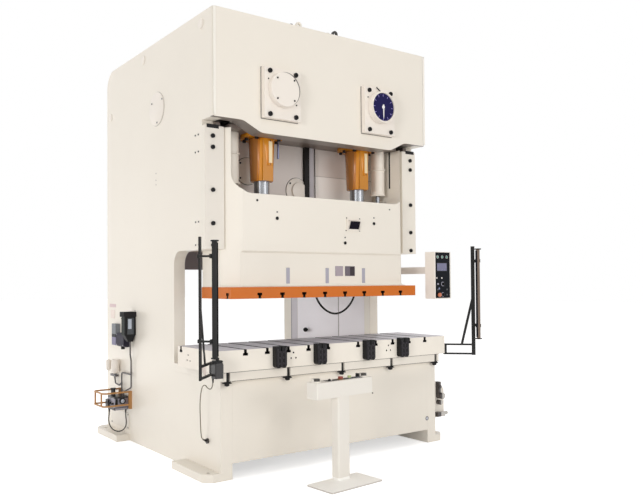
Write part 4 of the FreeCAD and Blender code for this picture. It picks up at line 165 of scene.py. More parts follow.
def moulded_effect():
    """Fine grain of moulded plastic and rubber, with a trace of dust."""
    tree, into = new_group("ShaderNodeTree", "moulded_grain", [
        ("Colour", COLOUR, (0.1, 0.1, 0.1, 1)), ("Dust", FLOAT, 0.06), ("Gloss", FLOAT, 0.4),
        ("Grain Size", FLOAT, 900)], SURFACE)
    where = own_place(tree)
    dust = noise(tree, where, scale=14, detail=8)
    grain = add(tree, "ShaderNodeTexVoronoi", {"Vector": where, "Scale": into["Grain Size"]})
    add(tree, "NodeGroupOutput", {
        "Colour": mixed(tree, maths(tree, "MULTIPLY", dust, into["Dust"]), into["Colour"], DUST_PALE),
        "Roughness": maths(tree, "MULTIPLY_ADD", dust, 0.2, into["Gloss"]),
        "Height": grain.outputs["Distance"]})
    return tree


def inside_box_effect():
    """A mask that is 1 inside a box given by its centre and half sizes, in the object's own coordinates."""
    tree, into = new_group("ShaderNodeTree", "inside_box", [
        ("Centre", VECTOR, (0, 0, 0)), ("Half", VECTOR, (1, 1, 1))], [("Mask", FLOAT)])
    away = vector_maths(tree, "ABSOLUTE", vector_maths(tree, "SUBTRACT", own_place(tree), into["Centre"]))
    past = add(tree, "ShaderNodeSeparateXYZ", {0: vector_maths(tree, "SUBTRACT", away, into["Half"])}).outputs
    largest = maths(tree, "MAXIMUM", maths(tree, "MAXIMUM", past["X"], past["Y"]), past["Z"])
    add(tree, "NodeGroupOutput", {"Mask": maths(tree, "LESS_THAN", largest, 0)})
    return tree


PAINT = sprayed_paint_effect()
MACHINED = machined_effect()
MOULDED = moulded_effect()
INSIDE_BOX = inside_box_effect()


# ------------------------------ kinds of finish


PAINT_RELIEF = (0.08, 0.0004)  # strength and depth in metres
PLASTIC_RELIEF = (0.05, 0.0002)
METAL_DEPTH = 0.0004  # in metres; each metal has a strength of its own
COAT_ROUGHNESS = 0.12
BARE_STEEL = (srgb(224, 220, 225), srgb(176, 171, 177), (6, 300, 300), 0.3)  # light, dark, stretch and gloss
BARE_METALLIC = 0.12  # ground faces mirror the pale room only faintly in the photograph


def new_finish(name):
    """An empty material that uses nodes."""
    material = bpy.data.materials.new(name)
    material.use_nodes = True
    return material


def feed_shader(material, source, relief, soft_edge, metallic, coat, specular):
    """Joins an effect's outputs to the Principled shader, with relief and rounded corners in the shading."""
    tree = material.node_tree
    strength, depth = relief
    bump = add(tree, "ShaderNodeBump", {"Strength": strength, "Distance": depth, "Height": source["Height"]})
    if soft_edge:
        corner = add(tree, "ShaderNodeBevel", {"Radius": soft_edge}, samples=4)
        feed(bump, {"Normal": corner.outputs["Normal"]})
    feed(tree.nodes["Principled BSDF"], {
        "Base Color": source["Colour"], "Roughness": source["Roughness"], "Normal": bump.outputs["Normal"],
        "Metallic": metallic, "Coat Weight": coat, "Coat Roughness": COAT_ROUGHNESS,
        "Specular IOR Level": specular})


def finish_material(name, group, values, relief, soft_edge=0.0, metallic=0.0, coat=0.0, specular=0.5):
    """A material made of one effect; lengths are in metres."""
    material = new_finish(name)
    source = add(material.node_tree, "ShaderNodeGroup", values, node_tree=group)
    feed_shader(material, source.outputs, relief, soft_edge, metallic, coat, specular)
    return material


def paint(name, slot, colour, drift=0.03, grime=0.08, gloss=0.30, soft_edge=0.006, coat=0.1, specular=0.5):
    """Sprayed enamel."""
    values = {"Colour": colour, "Drift": drift, "Grime": grime, "Gloss": gloss}
    return finish_material(name, PAINT, values, PAINT_RELIEF, soft_edge, coat=coat, specular=specular)


def strip_paint(name, slot, colour, **others):
    """Paint of a thin plate or strip."""
    return paint(name, slot, colour, soft_edge=0.001, **others)


def steel_values(light, dark, stretch, gloss):
    """The machined effect's values, with its tool lines stretched along X, Y and Z."""
    values = {"Light": light, "Dark": dark, "Gloss": gloss}
    values.update(zip(("Stretch X", "Stretch Y", "Stretch Z"), stretch))
    return values


def metal(name, light, dark, stretch, gloss, bump=0.12):
    """Bare metal with tool lines."""
    values = steel_values(light, dark, stretch, gloss)
    return finish_material(name, MACHINED, values, (bump, METAL_DEPTH), soft_edge=0.002, metallic=1.0)


def plastic(name, colour, gloss=0.35, dust=0.05, specular=0.5):
    """Moulded plastic, rubber or dusty glass."""
    values = {"Colour": colour, "Dust": dust, "Gloss": gloss}
    return finish_material(name, MOULDED, values, PLASTIC_RELIEF, specular=specular)


def glow(name, colour, strength):
    """Lamp lens or lit screen."""
    material = plastic(name, colour, gloss=0.18, dust=0.02)
    shader = material.node_tree.nodes["Principled BSDF"]
    lit = shader.inputs["Base Color"].links[0].from_socket
    feed(shader, {"Emission Color": lit, "Emission Strength": strength})
    return material


def span(x, y, z):
    """The lowest and the highest corner of a box, from its (from, to) limits in millimetres."""
    return tuple(zip(x, y, z))


def zone(x, y, z, colour):
    """A box with a colour of its own."""
    return (*span(x, y, z), colour)


def box_mask(tree, low, high):
    """Mask of a box with its lowest and highest corners in millimetres."""
    centre = [(a + b) / 2000 for a, b in zip(low, high)]
    half = [(b - a) / 2000 for a, b in zip(low, high)]
    mask = add(tree, "ShaderNodeGroup", {"Centre": centre, "Half": half}, node_tree=INSIDE_BOX)
    return mask.outputs["Mask"]


def zoned_paint(name, colour, zones, gloss=0.3, soft_edge=0.002, coat=0.1, specular=0.5):
    """Paint whose colour differs between parts of one piece; a later zone covers an earlier one."""
    material = new_finish(name)
    tree = material.node_tree
    for low, high, zone_colour in zones:
        colour = mixed(tree, box_mask(tree, low, high), colour, zone_colour)
    values = {"Colour": colour, "Drift": 0.03, "Grime": 0.06, "Gloss": gloss}
    source = add(tree, "ShaderNodeGroup", values, node_tree=PAINT)
    feed_shader(material, source.outputs, PAINT_RELIEF, soft_edge, 0.0, coat, specular)
    return material


def part_machined(name, colour, zones, bare_boxes):
    """Painted piece with some faces left bare and machined."""
    material = zoned_paint(name, colour, zones, soft_edge=0.003, coat=0, specular=0.35)
    tree = material.node_tree
    shader = tree.nodes["Principled BSDF"]
    bare = add(tree, "ShaderNodeGroup", steel_values(*BARE_STEEL), node_tree=MACHINED)
    masks = [box_mask(tree, low, high) for low, high in bare_boxes]
    mask = masks[0]
    for other in masks[1:]:
        mask = maths(tree, "MAXIMUM", mask, other)
    for label, output, kind in (("Base Color", "Colour", "RGBA"), ("Roughness", "Roughness", "FLOAT")):
        painted = shader.inputs[label].links[0].from_socket
        feed(shader, {label: mixed(tree, mask, painted, bare.outputs[output], kind)})
    feed(shader, {"Metallic": maths(tree, "MULTIPLY", mask, BARE_METALLIC)})
    return material


# ------------------------------ finishes of one colour


CREAM = srgb(236, 229, 217)
cream = paint("cream_enamel", "cream_paint", CREAM)
cream_plate = paint("cream_cover_enamel", "cream_paint", srgb(238, 230, 220), soft_edge=0.003)
# A darker copy of the cream: painted shade for the gear case inside the crown
cream_inside = paint("cream_enamel_inside", "cream_paint", srgb(214, 206, 200), soft_edge=0.003)
# Pale paint for painted highlights on the crown's and the column's corners, and for the panel's real bezel
highlight_and_bezel_pale = strip_paint("highlight_and_bezel_enamel", "cream_paint", srgb(244, 239, 229))
# Paler than the cream: the column's liners, painted lighter as painted light on the dim inner face
liner_pale = strip_paint("column_liner_enamel", "cream_paint", srgb(246, 243, 249))
blank_rose = strip_paint("rose_blank_plate", "cream_paint", srgb(214, 190, 190))
blank_pale = strip_paint("pale_blank_plate", "cream_paint", srgb(233, 218, 208))

grey = paint("grey_arm_enamel", "grey_paint", srgb(236, 230, 224), soft_edge=0.003)
dark_grey = paint("dark_grey_enamel", "grey_paint", srgb(74, 76, 80), soft_edge=0.003)
# Dark grey-brown: painted shade on the crown's floor, seen from below
floor_grey = paint("crown_floor_enamel", "grey_paint", srgb(112, 100, 92), soft_edge=0.002)
shade_grey = paint("grey_seam_enamel", "grey_paint", srgb(172, 166, 160), soft_edge=0.002)
# Darker grey than the frame: partly painted shade on the plate deep behind the throat
rear_grey = paint("rear_plate_enamel", "grey_paint", srgb(150, 142, 148), soft_edge=0.002)
# Painted shade in the slide's knock-out slots
slot_shade_grey = strip_paint("knock_out_bar_enamel", "grey_paint", srgb(166, 163, 176))
strip_grey = strip_paint("column_strip_enamel", "grey_paint", srgb(206, 201, 208))
seam_violet = strip_paint("column_seam_enamel", "grey_paint", srgb(140, 134, 146))
blank_grey = strip_paint("grey_blank_plate", "grey_paint", srgb(164, 152, 160), gloss=0.2)
blank_plum = strip_paint("plum_blank_plate", "grey_paint", srgb(98, 88, 98), gloss=0.2)
# Dark grey of gap lines that also stands for painted shade: round the covers, under the table's edges and in
# the crescent on the round cap
gap_and_shade_grey = strip_paint("gap_and_shade_enamel", "grey_paint", srgb(104, 99, 96), coat=0, specular=0.3)
plate_dark = strip_paint("dark_blank_plate", "grey_paint", srgb(50, 40, 46), gloss=0.2, coat=0, specular=0.3)

black = paint(
    "black_enamel", "black_paint", srgb(20, 19, 21), drift=0.01, grime=0.02, gloss=0.34, soft_edge=0.0015,
    coat=0, specular=0.2)
black_satin = paint(
    "black_satin_enamel", "black_paint", srgb(26, 26, 26), drift=0.015, grime=0.02, gloss=0.42,
    soft_edge=0.0015, coat=0, specular=0.25)
bracket_grey = strip_paint("bracket_rail_enamel", "black_paint", srgb(44, 40, 46), coat=0, specular=0.3)
orange_guide = paint(
    "orange_guide_enamel", "orange_paint", srgb(198, 128, 24), gloss=0.18, soft_edge=0.004, specular=0.4)
orange_guard = paint("orange_guard_enamel", "orange_paint", srgb(178, 128, 74), soft_edge=0, coat=0)

chrome = metal(
    "chromed_plunger", srgb(178, 180, 184), srgb(104, 106, 110), (500, 500, 5), 0.14, bump=0.04)
iron = metal("machined_iron", srgb(122, 120, 122), srgb(74, 73, 75), (200, 6, 200), 0.4)
bronze = metal("bearing_bronze", srgb(190, 148, 82), srgb(142, 104, 54), (200, 6, 200), 0.3)
alloy = metal("cast_alloy", srgb(200, 200, 206), srgb(156, 156, 164), (60, 60, 60), 0.4)
rod_blue = metal("blued_rod", srgb(150, 156, 186), srgb(112, 116, 146), (300, 300, 8), 0.3)

rubber = plastic("hose_rubber", srgb(20, 20, 21), 0.5, specular=0.25)
grey_cable = plastic("grey_cable_sheath", srgb(124, 118, 104), 0.5)
black_plastic = plastic("moulded_black", srgb(20, 20, 22), 0.34, 0.02, specular=0.25)
panel_black = plastic("panel_face_black", srgb(14, 18, 28), 0.45, 0.01, specular=0.06)
display_black = plastic("display_face_black", srgb(16, 13, 26), 0.5, 0.01, specular=0.05)
palm_black = plastic("palm_button_black", srgb(52, 49, 44), 0.3)
glass_dark = plastic("dark_tank_glass", srgb(60, 66, 74), 0.12, 0.06, specular=0.4)
glass_pale = plastic("pale_tank_glass", srgb(186, 194, 208), 0.1, 0.08)
sight_glass = plastic("amber_sight_glass", srgb(240, 218, 172), 0.12, 0.06)
white_plastic = plastic("moulded_white", srgb(244, 242, 240), 0.3, 0.02)
knob_grey = plastic("pale_knob", srgb(176, 174, 190), 0.3)
violet_mark = plastic("violet_dial_mark", srgb(158, 146, 214), 0.4, 0.02)
navy = plastic("navy_dial_face", srgb(22, 18, 72), 0.35, 0.01, specular=0.1)
brick_plastic = plastic("brick_stop_button", srgb(150, 62, 48), 0.3)
orange_stop = plastic("panel_stop_button", srgb(206, 120, 84), 0.3)
green_plastic = plastic("pale_green_button", srgb(186, 200, 140), 0.25, 0.03)
lamp_teal = glow("teal_lamp", srgb(62, 132, 120), 0.2)
screen_lit = glow("panel_screen", srgb(108, 108, 134), 0.25)


# ------------------------------ finishes with zones


ANY = (-4000, 4000)
SEAM_GREY = srgb(150, 142, 132)
VALVE_BLACK = srgb(28, 27, 30)
VALVE_SHADE = srgb(82, 78, 80)
# Painted shade on the left side of each guide housing, with a half shade beside it
HOUSING_SHADE = srgb(150, 96, 44)
HOUSING_HALF_SHADE = srgb(184, 112, 34)


def steel_bands():
    """The strips of ground steel between the bolster's slots; their edges keep the dark painted shade of the
    slots.
    """
    slots = [160 + 196 * step for step in range(5)]
    middles = [-1230] + [-x for x in reversed(slots)] + slots + [1230]
    return [(a + 15, b - 15) for a, b in zip(middles, middles[1:])]


# The bolster's near-black base colour is painted shade in its T-slots; its faces, ends and ground top bands
# have their own colours
bolster_finish = part_machined(
    "bolster_enamel_and_steel", srgb(18, 17, 18),
    [zone(ANY, (-1169, -1167.5), ANY, srgb(246, 239, 227)), zone(ANY, (-555.5, -554), ANY, CREAM),
     *(zone(x, ANY, ANY, srgb(240, 232, 220)) for x in ((-1201, -1199.5), (1199.5, 1201)))],
    [span(band, ANY, (966.5, 968)) for band in steel_bands()])
# The dark brown inside the slide plate is painted shade in its T-slots
slide_plate_finish = part_machined(
    "slide_plate_orange_enamel", srgb(206, 106, 6),
    [zone((-979.3, 979.3), (-1020.3, -549.7), (1341.4, 1430.6), srgb(46, 34, 26))],
    [span(ANY, ANY, (1340, 1341.6))])
# Painted shade: the left column's front face is a little darker than the cream
side_frame_finish = zoned_paint(
    "side_frame_enamel", CREAM,
    [zone((-1130, 0), (-840, -837), (1700, 2700), srgb(219, 213, 202))])
# Painted shade: the left gib's front face is a little darker than the cream
gib_finish = zoned_paint(
    "gib_enamel", CREAM, [zone((-1200, 0), (-887, -883), ANY, srgb(226, 219, 208))])
# Painted shade: the crown's underside behind its front face is painted dark
crown_finish = zoned_paint(
    "crown_enamel", CREAM, [zone(ANY, (-1014, -400), (2600, 2737), srgb(132, 124, 118))])
back_shell_finish = zoned_paint(
    "back_shell_enamel", CREAM,
    [zone((-1012, 1012), (1170, 1180), (z - 1.5, z + 1.5), SEAM_GREY) for z in (1868, 2620, 3360)]
    + [zone((x - 1.5, x + 1.5), (1170, 1180), (1868, 3360), SEAM_GREY) for x in (-1012, -340, 340, 1012)])
# Painted light and shade on the bearing wall: the base colour is painted shade, and its right part and a band
# from 2100 to 2440 mm high are painted lighter as painted light
bearing_wall_finish = zoned_paint(
    "bearing_wall_enamel", srgb(226, 217, 211),
    [zone((190, 1100), ANY, (2100, 2440), srgb(246, 240, 234)),
     zone((620, 1100), ANY, ANY, srgb(248, 242, 236))])
duct_finish = zoned_paint(
    "wall_duct_enamel", srgb(18, 15, 15),
    [zone((122.2, 190), ANY, ANY, srgb(196, 190, 194))], coat=0, specular=0.15)
lug_finish = zoned_paint(
    "lifting_lug_enamel", srgb(40, 38, 36),
    [zone((-320, -250), ANY, ANY, srgb(232, 226, 214)), zone((15, 60), ANY, ANY, srgb(226, 222, 214))])
panel_finish = zoned_paint(
    "control_panel_enamel", srgb(250, 243, 234),
    [zone((1249, 1446), (-1017.8, -1016.2), (1309, 1743), srgb(10, 15, 24))], specular=0.08, coat=0)
pump_finish = zoned_paint(
    "lubrication_pump_enamel", srgb(24, 25, 29),
    [zone(ANY, (440, 560), (1160, 1210), srgb(30, 28, 32)),
     zone((-1238, -1235.8), (440, 560), (990, 1160), srgb(30, 36, 34)),
     zone(ANY, (575, 770), (870, 1004), srgb(44, 41, 56)),
     zone(ANY, (575, 770), (846, 873), srgb(24, 23, 26)),
     zone(ANY, (838, 946), (980, 1082), srgb(132, 136, 140)),
     zone(ANY, (838, 946), (950, 980), srgb(40, 40, 44)),
     zone(ANY, (838, 946), (870, 950), srgb(140, 136, 160))], gloss=0.42, coat=0, specular=0.15)
valve_finish = zoned_paint(
    "valve_unit_enamel", srgb(150, 148, 160),
    [zone((-1276, -1138), (609, 788), (399, 416), VALVE_BLACK),
     zone((-1282, -1136), (606, 792), (290, 316), srgb(42, 34, 34)),
     zone((-1274, -1216), (690, 750), (414.5, 490), srgb(30, 29, 32)),
     zone((-1296, -1275.4), (726, 790), (300, 384), srgb(34, 33, 36)),
     zone((-1236, -1172), (586, 609.6), (345, 407), srgb(30, 30, 32)),
     zone((-1181, -1120), (480, 1020), (414.5, 935), VALVE_SHADE),
     zone((-1138.6, -1120), ANY, ANY, VALVE_SHADE),
     zone((-1134, -1120), (618, 1052), (96, 254), srgb(226, 219, 208))])
air_finish = zoned_paint(
    "air_supply_enamel", srgb(62, 56, 56),
    [zone((1258, 1356), ANY, ANY, srgb(196, 192, 186)),
     zone((1126, 1341), (-1020.6, -1011), (190, 550), srgb(240, 233, 222))])
# The zones are painted shade on each housing's left side.
orange_housing = zoned_paint(
    "guide_housing_enamel", srgb(214, 138, 26),
    [zone((-640, -601), ANY, ANY, HOUSING_SHADE), zone((400, 436), ANY, ANY, HOUSING_SHADE),
     zone((-601, -588), ANY, ANY, HOUSING_HALF_SHADE), zone((436, 449), ANY, ANY, HOUSING_HALF_SHADE)],
    gloss=0.16, coat=0.15, specular=0.4)
light_bar_finish = zoned_paint(
    "right_curtain_enamel", srgb(26, 26, 26),
    [zone((1331, 1375), (-1462, -1416), (944, 1763), srgb(122, 106, 94))], coat=0, specular=0.25)
wiring_finish = zoned_paint(
    "curtain_wiring_enamel", srgb(150, 146, 142),
    [zone((-1263, -1193), (-1282, -1208), (781, 895), srgb(30, 28, 30)),
     zone((-1160, -1120), (-940, -890), (240, 290), srgb(52, 46, 44))])
# Painted light on the top of the stand's base plate, and painted shade on its edges below
stand_finish = zoned_paint(
    "control_stand_enamel", srgb(236, 231, 222),
    [zone(ANY, ANY, (11.4, 30), srgb(255, 253, 248)), zone(ANY, ANY, (-5, 11.2), srgb(206, 200, 193))],
    soft_edge=0.0015)

NODE_FINISHES = (
    (cream, "right_side_frame bed slide_body counterbalance_cylinders arm_bracket"),
    (cream_plate, "crank_covers angle_dial slide_display round_covers"),
    (cream_inside, "gear_case"), (floor_grey, "crown_floor"), (grey, "panel_arm"),
    (side_frame_finish, "left_side_frame"), (gib_finish, "gib_plates"), (crown_finish, "crown_front"),
    (back_shell_finish, "crown_back_shell"), (bearing_wall_finish, "bearing_wall"),
    (duct_finish, "wall_duct"), (lug_finish, "lifting_lugs"),
    (bolster_finish, "bolster"), (slide_plate_finish, "slide_plate"),
    (panel_finish, "control_panel"), (stand_finish, "control_stand"),
    (light_bar_finish, "right_light_curtain"), (wiring_finish, "curtain_wiring"),
    (pump_finish, "lubrication_pump"), (valve_finish, "valve_unit"), (air_finish, "air_supply"),
    (orange_guide, "plunger_guides"), (orange_guard, "valve_guard"),
    (black, "bolster_bolts die_arm_brackets frame_screws"),
    (black_satin, "curtain_hinges left_light_curtain"),
    (iron, "left_crankshaft right_crankshaft left_main_gear right_main_gear pinion_shaft connecting_rods"),
    (iron, "flywheel motor_pulley"), (dark_grey, "drive_motor"), (bronze, "crank_bearings"),
    (chrome, "plungers counterbalance_rods"), (rubber, "drive_belts slide_hose valve_hose"),
    (grey_cable, "curtain_cable"), (white_plastic, "angle_pointer"),
    (black_plastic, "panel_key_switch panel_selector stand_selector"),
    (palm_black, "left_palm_button right_palm_button"), (green_plastic, "stand_start_button"),
    (brick_plastic, "stand_estop"), (orange_stop, "panel_estop"),
)
for finish, names in NODE_FINISHES:
    for name in names.split():
        nodes[name].data.materials.clear()
        nodes[name].data.materials.append(finish)


# ------------------------------ camera


PHOTO_SIZE = (643, 497)
FOCAL_LENGTH = 712.606  # in the photograph's pixels
LENS_AXIS = (288.516, 267.230)  # where it meets the photograph, from the top left
CAMERA_PLACE = (-3.73798, -5.73433, 1.46694)
CAMERA_TURNS = (34.9562, 1.2175, -0.3748)  # yaw, pitch and roll in degrees
SENSOR_WIDTH = 36


def place_camera():
    """The photographer's place, left of the press and just below half its height."""
    yaw, pitch, roll = (math.radians(angle) for angle in CAMERA_TURNS)
    ahead = Vector((math.sin(yaw) * math.cos(pitch), math.cos(yaw) * math.cos(pitch), math.sin(pitch)))
    side = Vector((math.cos(yaw), -math.sin(yaw), 0))
    over = side.cross(ahead)
    right = side * math.cos(roll) + over * math.sin(roll)
    up = over * math.cos(roll) - side * math.sin(roll)
    data = bpy.data.cameras.new("photo_camera")
    width, height = PHOTO_SIZE
    data.sensor_width = SENSOR_WIDTH
    data.lens = FOCAL_LENGTH / width * SENSOR_WIDTH
    data.shift_x = (width / 2 - LENS_AXIS[0]) / width
    data.shift_y = (LENS_AXIS[1] - height / 2) / width
    camera = bpy.data.objects.new("photo_camera", data)
    turn = Matrix((right, up, -ahead)).transposed().to_4x4()
    camera.matrix_world = Matrix.Translation(CAMERA_PLACE) @ turn
    scene.collection.objects.link(camera)
    scene.camera = camera


place_camera()


# ------------------------------ making pieces


FRONT = (0, -1, 0)
BACK = (0, 1, 0)
LEFT = (-1, 0, 0)
RIGHT = (1, 0, 0)
UP = (0, 0, 1)
DOWN = (0, 0, -1)
SHARP = 0.3  # in radians, the turn from which an edge is broken
CREASE = math.radians(35)  # the turn from which an edge shows as a line


def mm(x, y, z):
    """A place in millimetres, as the scene wants it."""
    return Vector((x, y, z)) / 1000


def new_item(name, data):
    """An object at the origin, linked to the scene."""
    item = bpy.data.objects.new(name, data)
    scene.collection.objects.link(item)
    return item


def carried(item, body):
    """Lets a piece ride on a body."""
    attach(item, body)
    return item


def finished(name, shape, finish, body="frame"):
    """Puts a shape in the scene as one piece that rides on a body."""
    mesh = bpy.data.meshes.new(name)
    bmesh.ops.recalc_face_normals(shape, faces=shape.faces)
    shape.to_mesh(mesh)
    shape.free()
    mesh.materials.append(finish)
    mesh.shade_smooth()
    mesh.set_sharp_from_angle(angle=CREASE)
    return carried(new_item(name, mesh), body)


def add_slab(shape, outline, depth):
    """Adds a plate to a mesh: an outline in millimetres, thickened along depth."""
    depth = Vector(depth) / 1000
    low = [shape.verts.new(Vector(point) / 1000) for point in outline]
    high = [shape.verts.new(vert.co + depth) for vert in low]
    shape.faces.new(low)
    shape.faces.new(high[::-1])
    for k in range(len(low)):
        n = (k + 1) % len(low)
        shape.faces.new((low[k], high[k], high[n], low[n]))


def soften(shape, amount, segments=2):
    """Breaks a shape's sharp edges by an amount in millimetres."""
    bmesh.ops.recalc_face_normals(shape, faces=shape.faces)
    sharp = [edge for edge in shape.edges if edge.calc_face_angle(0) > SHARP]
    bmesh.ops.bevel(
        shape, geom=sharp, offset=amount / 1000, segments=segments, affect="EDGES", clamp_overlap=True)


def slab(name, outline, depth, finish, body="frame", edge=1.5):
    """Plate cut to an outline, with its edges broken."""
    shape = bmesh.new()
    add_slab(shape, outline, depth)
    soften(shape, edge)
    return finished(name, shape, finish, body)


def front_plate(name, x, z, y, thick, finish, body="frame", edge=1.5):
    """Upright plate between (left, right) and (low, high), from y towards the front."""
    outline = [(x[0], y, z[0]), (x[1], y, z[0]), (x[1], y, z[1]), (x[0], y, z[1])]
    return slab(name, outline, (0, -thick, 0), finish, body, edge)


def side_plate(name, y, z, x, thick, finish, body="frame", edge=1.5):
    """Upright plate between (front, rear) and (low, high), from x towards the left."""
    outline = [(x, y[0], z[0]), (x, y[1], z[0]), (x, y[1], z[1]), (x, y[0], z[1])]
    return slab(name, outline, (-thick, 0, 0), finish, body, edge)


def casing(name, boxes, finish, body="frame", edge=3, segments=3):
    """Housing made of one or more rounded boxes, each (lowest corner, highest corner)."""
    shape = bmesh.new()
    for (x0, y0, z0), (x1, y1, z1) in boxes:
        add_slab(shape, ((x0, y0, z0), (x1, y0, z0), (x1, y1, z0), (x0, y1, z0)), (0, 0, z1 - z0))
    soften(shape, edge, segments)
    return finished(name, shape, finish, body)


def add_turned(shape, profile, foot, along, sides):
    """Adds a round piece turned to a profile of (radius, height), standing on foot and pointing along."""
    along = Vector(along).normalized()
    across = along.orthogonal().normalized()
    over = along.cross(across)
    turns = [2 * math.pi * k / sides for k in range(sides)]
    spokes = [across * math.cos(a) + over * math.sin(a) for a in turns]
    rings = []
    for radius, height in profile:
        centre = Vector(foot) + along * height
        if radius == 0:
            rings.append([shape.verts.new(centre / 1000)])
        else:
            rings.append([shape.verts.new((centre + spoke * radius) / 1000) for spoke in spokes])
    for low, high in zip(rings, rings[1:]):
        for k in range(sides):
            n = (k + 1) % sides
            if len(low) == 1:
                shape.faces.new((low[0], high[n], high[k]))
            elif len(high) == 1:
                shape.faces.new((low[k], low[n], high[0]))
            else:
                shape.faces.new((low[k], low[n], high[n], high[k]))


def turned(name, profile, places, along, finish, body="frame", sides=36):
    """One or more equal turned pieces at their places, in one mesh."""
    shape = bmesh.new()
    for foot in places:
        add_turned(shape, profile, foot, along, sides)
    return finished(name, shape, finish, body)


def ring(inner, outer, height, lip=1.0):
    """Profile of a flat ring with broken edges, closed on itself."""
    return ((inner, 0), (outer, 0), (outer, height - lip), (outer - lip, height), (inner + lip, height),
            (inner, height - lip), (inner, 0))


def disc(radius, height, lip=1.5):
    """Profile of a flat disc with a rounded rim."""
    return ((0, 0), (radius, 0), (radius, height - lip), (radius - lip * 0.3, height - lip * 0.3),
            (radius - lip, height), (0, height))


def dome(radius, height, steps=6):
    """Profile of a dome on a short skirt."""
    skirt = height * 0.25
    turns = [math.pi / 2 * k / steps for k in range(steps)]
    arc = [(radius * math.cos(a), skirt + (height - skirt) * math.sin(a)) for a in turns]
    return [(0, 0), (radius, 0)] + arc + [(0, height)]


# ------------------------------ trees for what repeats


def growing_tree(name, inputs):
    """An empty tree that grows pieces on places."""
    inputs = [("Places", GEOMETRY, None), *inputs, ("Finish", MATERIAL, None)]
    return new_group("GeometryNodeTree", name, inputs, [("Pieces", GEOMETRY)])


def end_tree(tree, into, instances):
    """Closes a tree with Realize Instances and Set Material."""
    real = add(tree, "GeometryNodeRealizeInstances", {"Geometry": instances})
    dress = add(tree, "GeometryNodeSetMaterial", {
        "Geometry": real.outputs["Geometry"], "Material": into["Finish"]})
    add(tree, "NodeGroupOutput", {"Pieces": dress.outputs["Geometry"]})
    return tree


def instances_on(tree, points, piece, rotation):
    """One copy of a piece on each point."""
    spread = add(tree, "GeometryNodeInstanceOnPoints", {
        "Points": points, "Instance": piece, "Rotation": rotation})
    return spread.outputs["Instances"]


def socket_screw_tree():
    """Cap screws with a sunk socket, one at each place."""
    tree, into = growing_tree("socket_screws", [
        ("Head Radius", FLOAT, 0.01), ("Head Height", FLOAT, 0.006), ("Socket Share", FLOAT, 0.5),
        ("Facing", VECTOR, FRONT)])
    head = add(tree, "GeometryNodeMeshCylinder", {
        "Vertices": 18, "Radius": into["Head Radius"], "Depth": into["Head Height"]})
    lift = add(tree, "ShaderNodeCombineXYZ", {"Z": maths(tree, "MULTIPLY", into["Head Height"], 0.5)})
    seat = add(tree, "GeometryNodeTransform", {
        "Geometry": head.outputs["Mesh"], "Translation": lift.outputs[0]})
    rim = add(tree, "GeometryNodeExtrudeMesh", {
        "Mesh": seat.outputs["Geometry"], "Selection": head.outputs["Top"], "Offset Scale": 0}, mode="FACES")
    narrow = add(tree, "GeometryNodeScaleElements", {
        "Geometry": rim.outputs["Mesh"], "Selection": rim.outputs["Top"], "Scale": into["Socket Share"]},
        domain="FACE")
    sink = add(tree, "GeometryNodeExtrudeMesh", {
        "Mesh": narrow.outputs["Geometry"], "Selection": rim.outputs["Top"],
        "Offset Scale": maths(tree, "MULTIPLY", into["Head Height"], -0.6)}, mode="FACES")
    turn = add(tree, "FunctionNodeAlignRotationToVector", {"Vector": into["Facing"]}, axis="Z")
    heads = instances_on(tree, into["Places"], sink.outputs["Mesh"], turn.outputs["Rotation"])
    return end_tree(tree, into, heads)


def dial_mark_tree():
    """Marks that stand round a dial, each pointing at its centre."""
    tree, into = growing_tree("dial_marks", [
        ("Count", COUNT, 12), ("Ring Radius", FLOAT, 0.11), ("Mark Size", VECTOR, (0.012, 0.003, 0.001)),
        ("Centre", VECTOR, (0, 0, 0))])
    circle = add(tree, "GeometryNodeMeshCircle", {"Vertices": into["Count"], "Radius": into["Ring Radius"]})
    mark = add(tree, "GeometryNodeMeshCube", {"Size": into["Mark Size"]})
    where = add(tree, "GeometryNodeInputPosition").outputs[0]
    turn = add(tree, "FunctionNodeAlignRotationToVector", {"Vector": where}, axis="X")
    marks = instances_on(tree, circle.outputs["Mesh"], mark.outputs["Mesh"], turn.outputs["Rotation"])
    stand = add(tree, "GeometryNodeTransform", {
        "Geometry": marks, "Rotation": (math.pi / 2, 0, 0), "Translation": into["Centre"]})
    return end_tree(tree, into, stand.outputs["Geometry"])


def slat_row_tree():
    """A row of equal slats at an even pitch."""
    tree, into = growing_tree("slat_row", [
        ("Count", COUNT, 8), ("First", VECTOR, (0, 0, 0)), ("Pitch", VECTOR, (0, 0, 0.03)),
        ("Slat Size", VECTOR, (0.2, 0.01, 0.01)), ("Tilt", VECTOR, (0, 0, 0))])
    row = add(tree, "GeometryNodeMeshLine", {
        "Count": into["Count"], "Start Location": into["First"], "Offset": into["Pitch"]})
    slat = add(tree, "GeometryNodeMeshCube", {"Size": into["Slat Size"]})
    turn = add(tree, "FunctionNodeEulerToRotation", {"Euler": into["Tilt"]})
    slats = instances_on(tree, row.outputs["Mesh"], slat.outputs["Mesh"], turn.outputs["Rotation"])
    return end_tree(tree, into, slats)


SCREWS = socket_screw_tree()
MARKS = dial_mark_tree()
SLATS = slat_row_tree()


def grown(name, tree, values, finish, body="frame", places=()):
    """Runs a tree on its places and keeps the result as a plain mesh on one body."""
    base = bpy.data.meshes.new(name + "_places")
    base.from_pydata([mm(*place) for place in places], [], [])
    item = new_item(name, base)
    grow = item.modifiers.new("grow", "NODES")
    grow.node_group = tree
    values = dict(values, Finish=finish)
    for socket in tree.interface.items_tree:
        if socket.in_out == "INPUT" and socket.name in values:
            grow[socket.identifier] = values[socket.name]
    bpy.context.view_layer.update()
    mesh = bpy.data.meshes.new_from_object(item.evaluated_get(bpy.context.evaluated_depsgraph_get()))
    item.modifiers.clear()
    item.data = mesh
    mesh.name = name
    return carried(item, body)


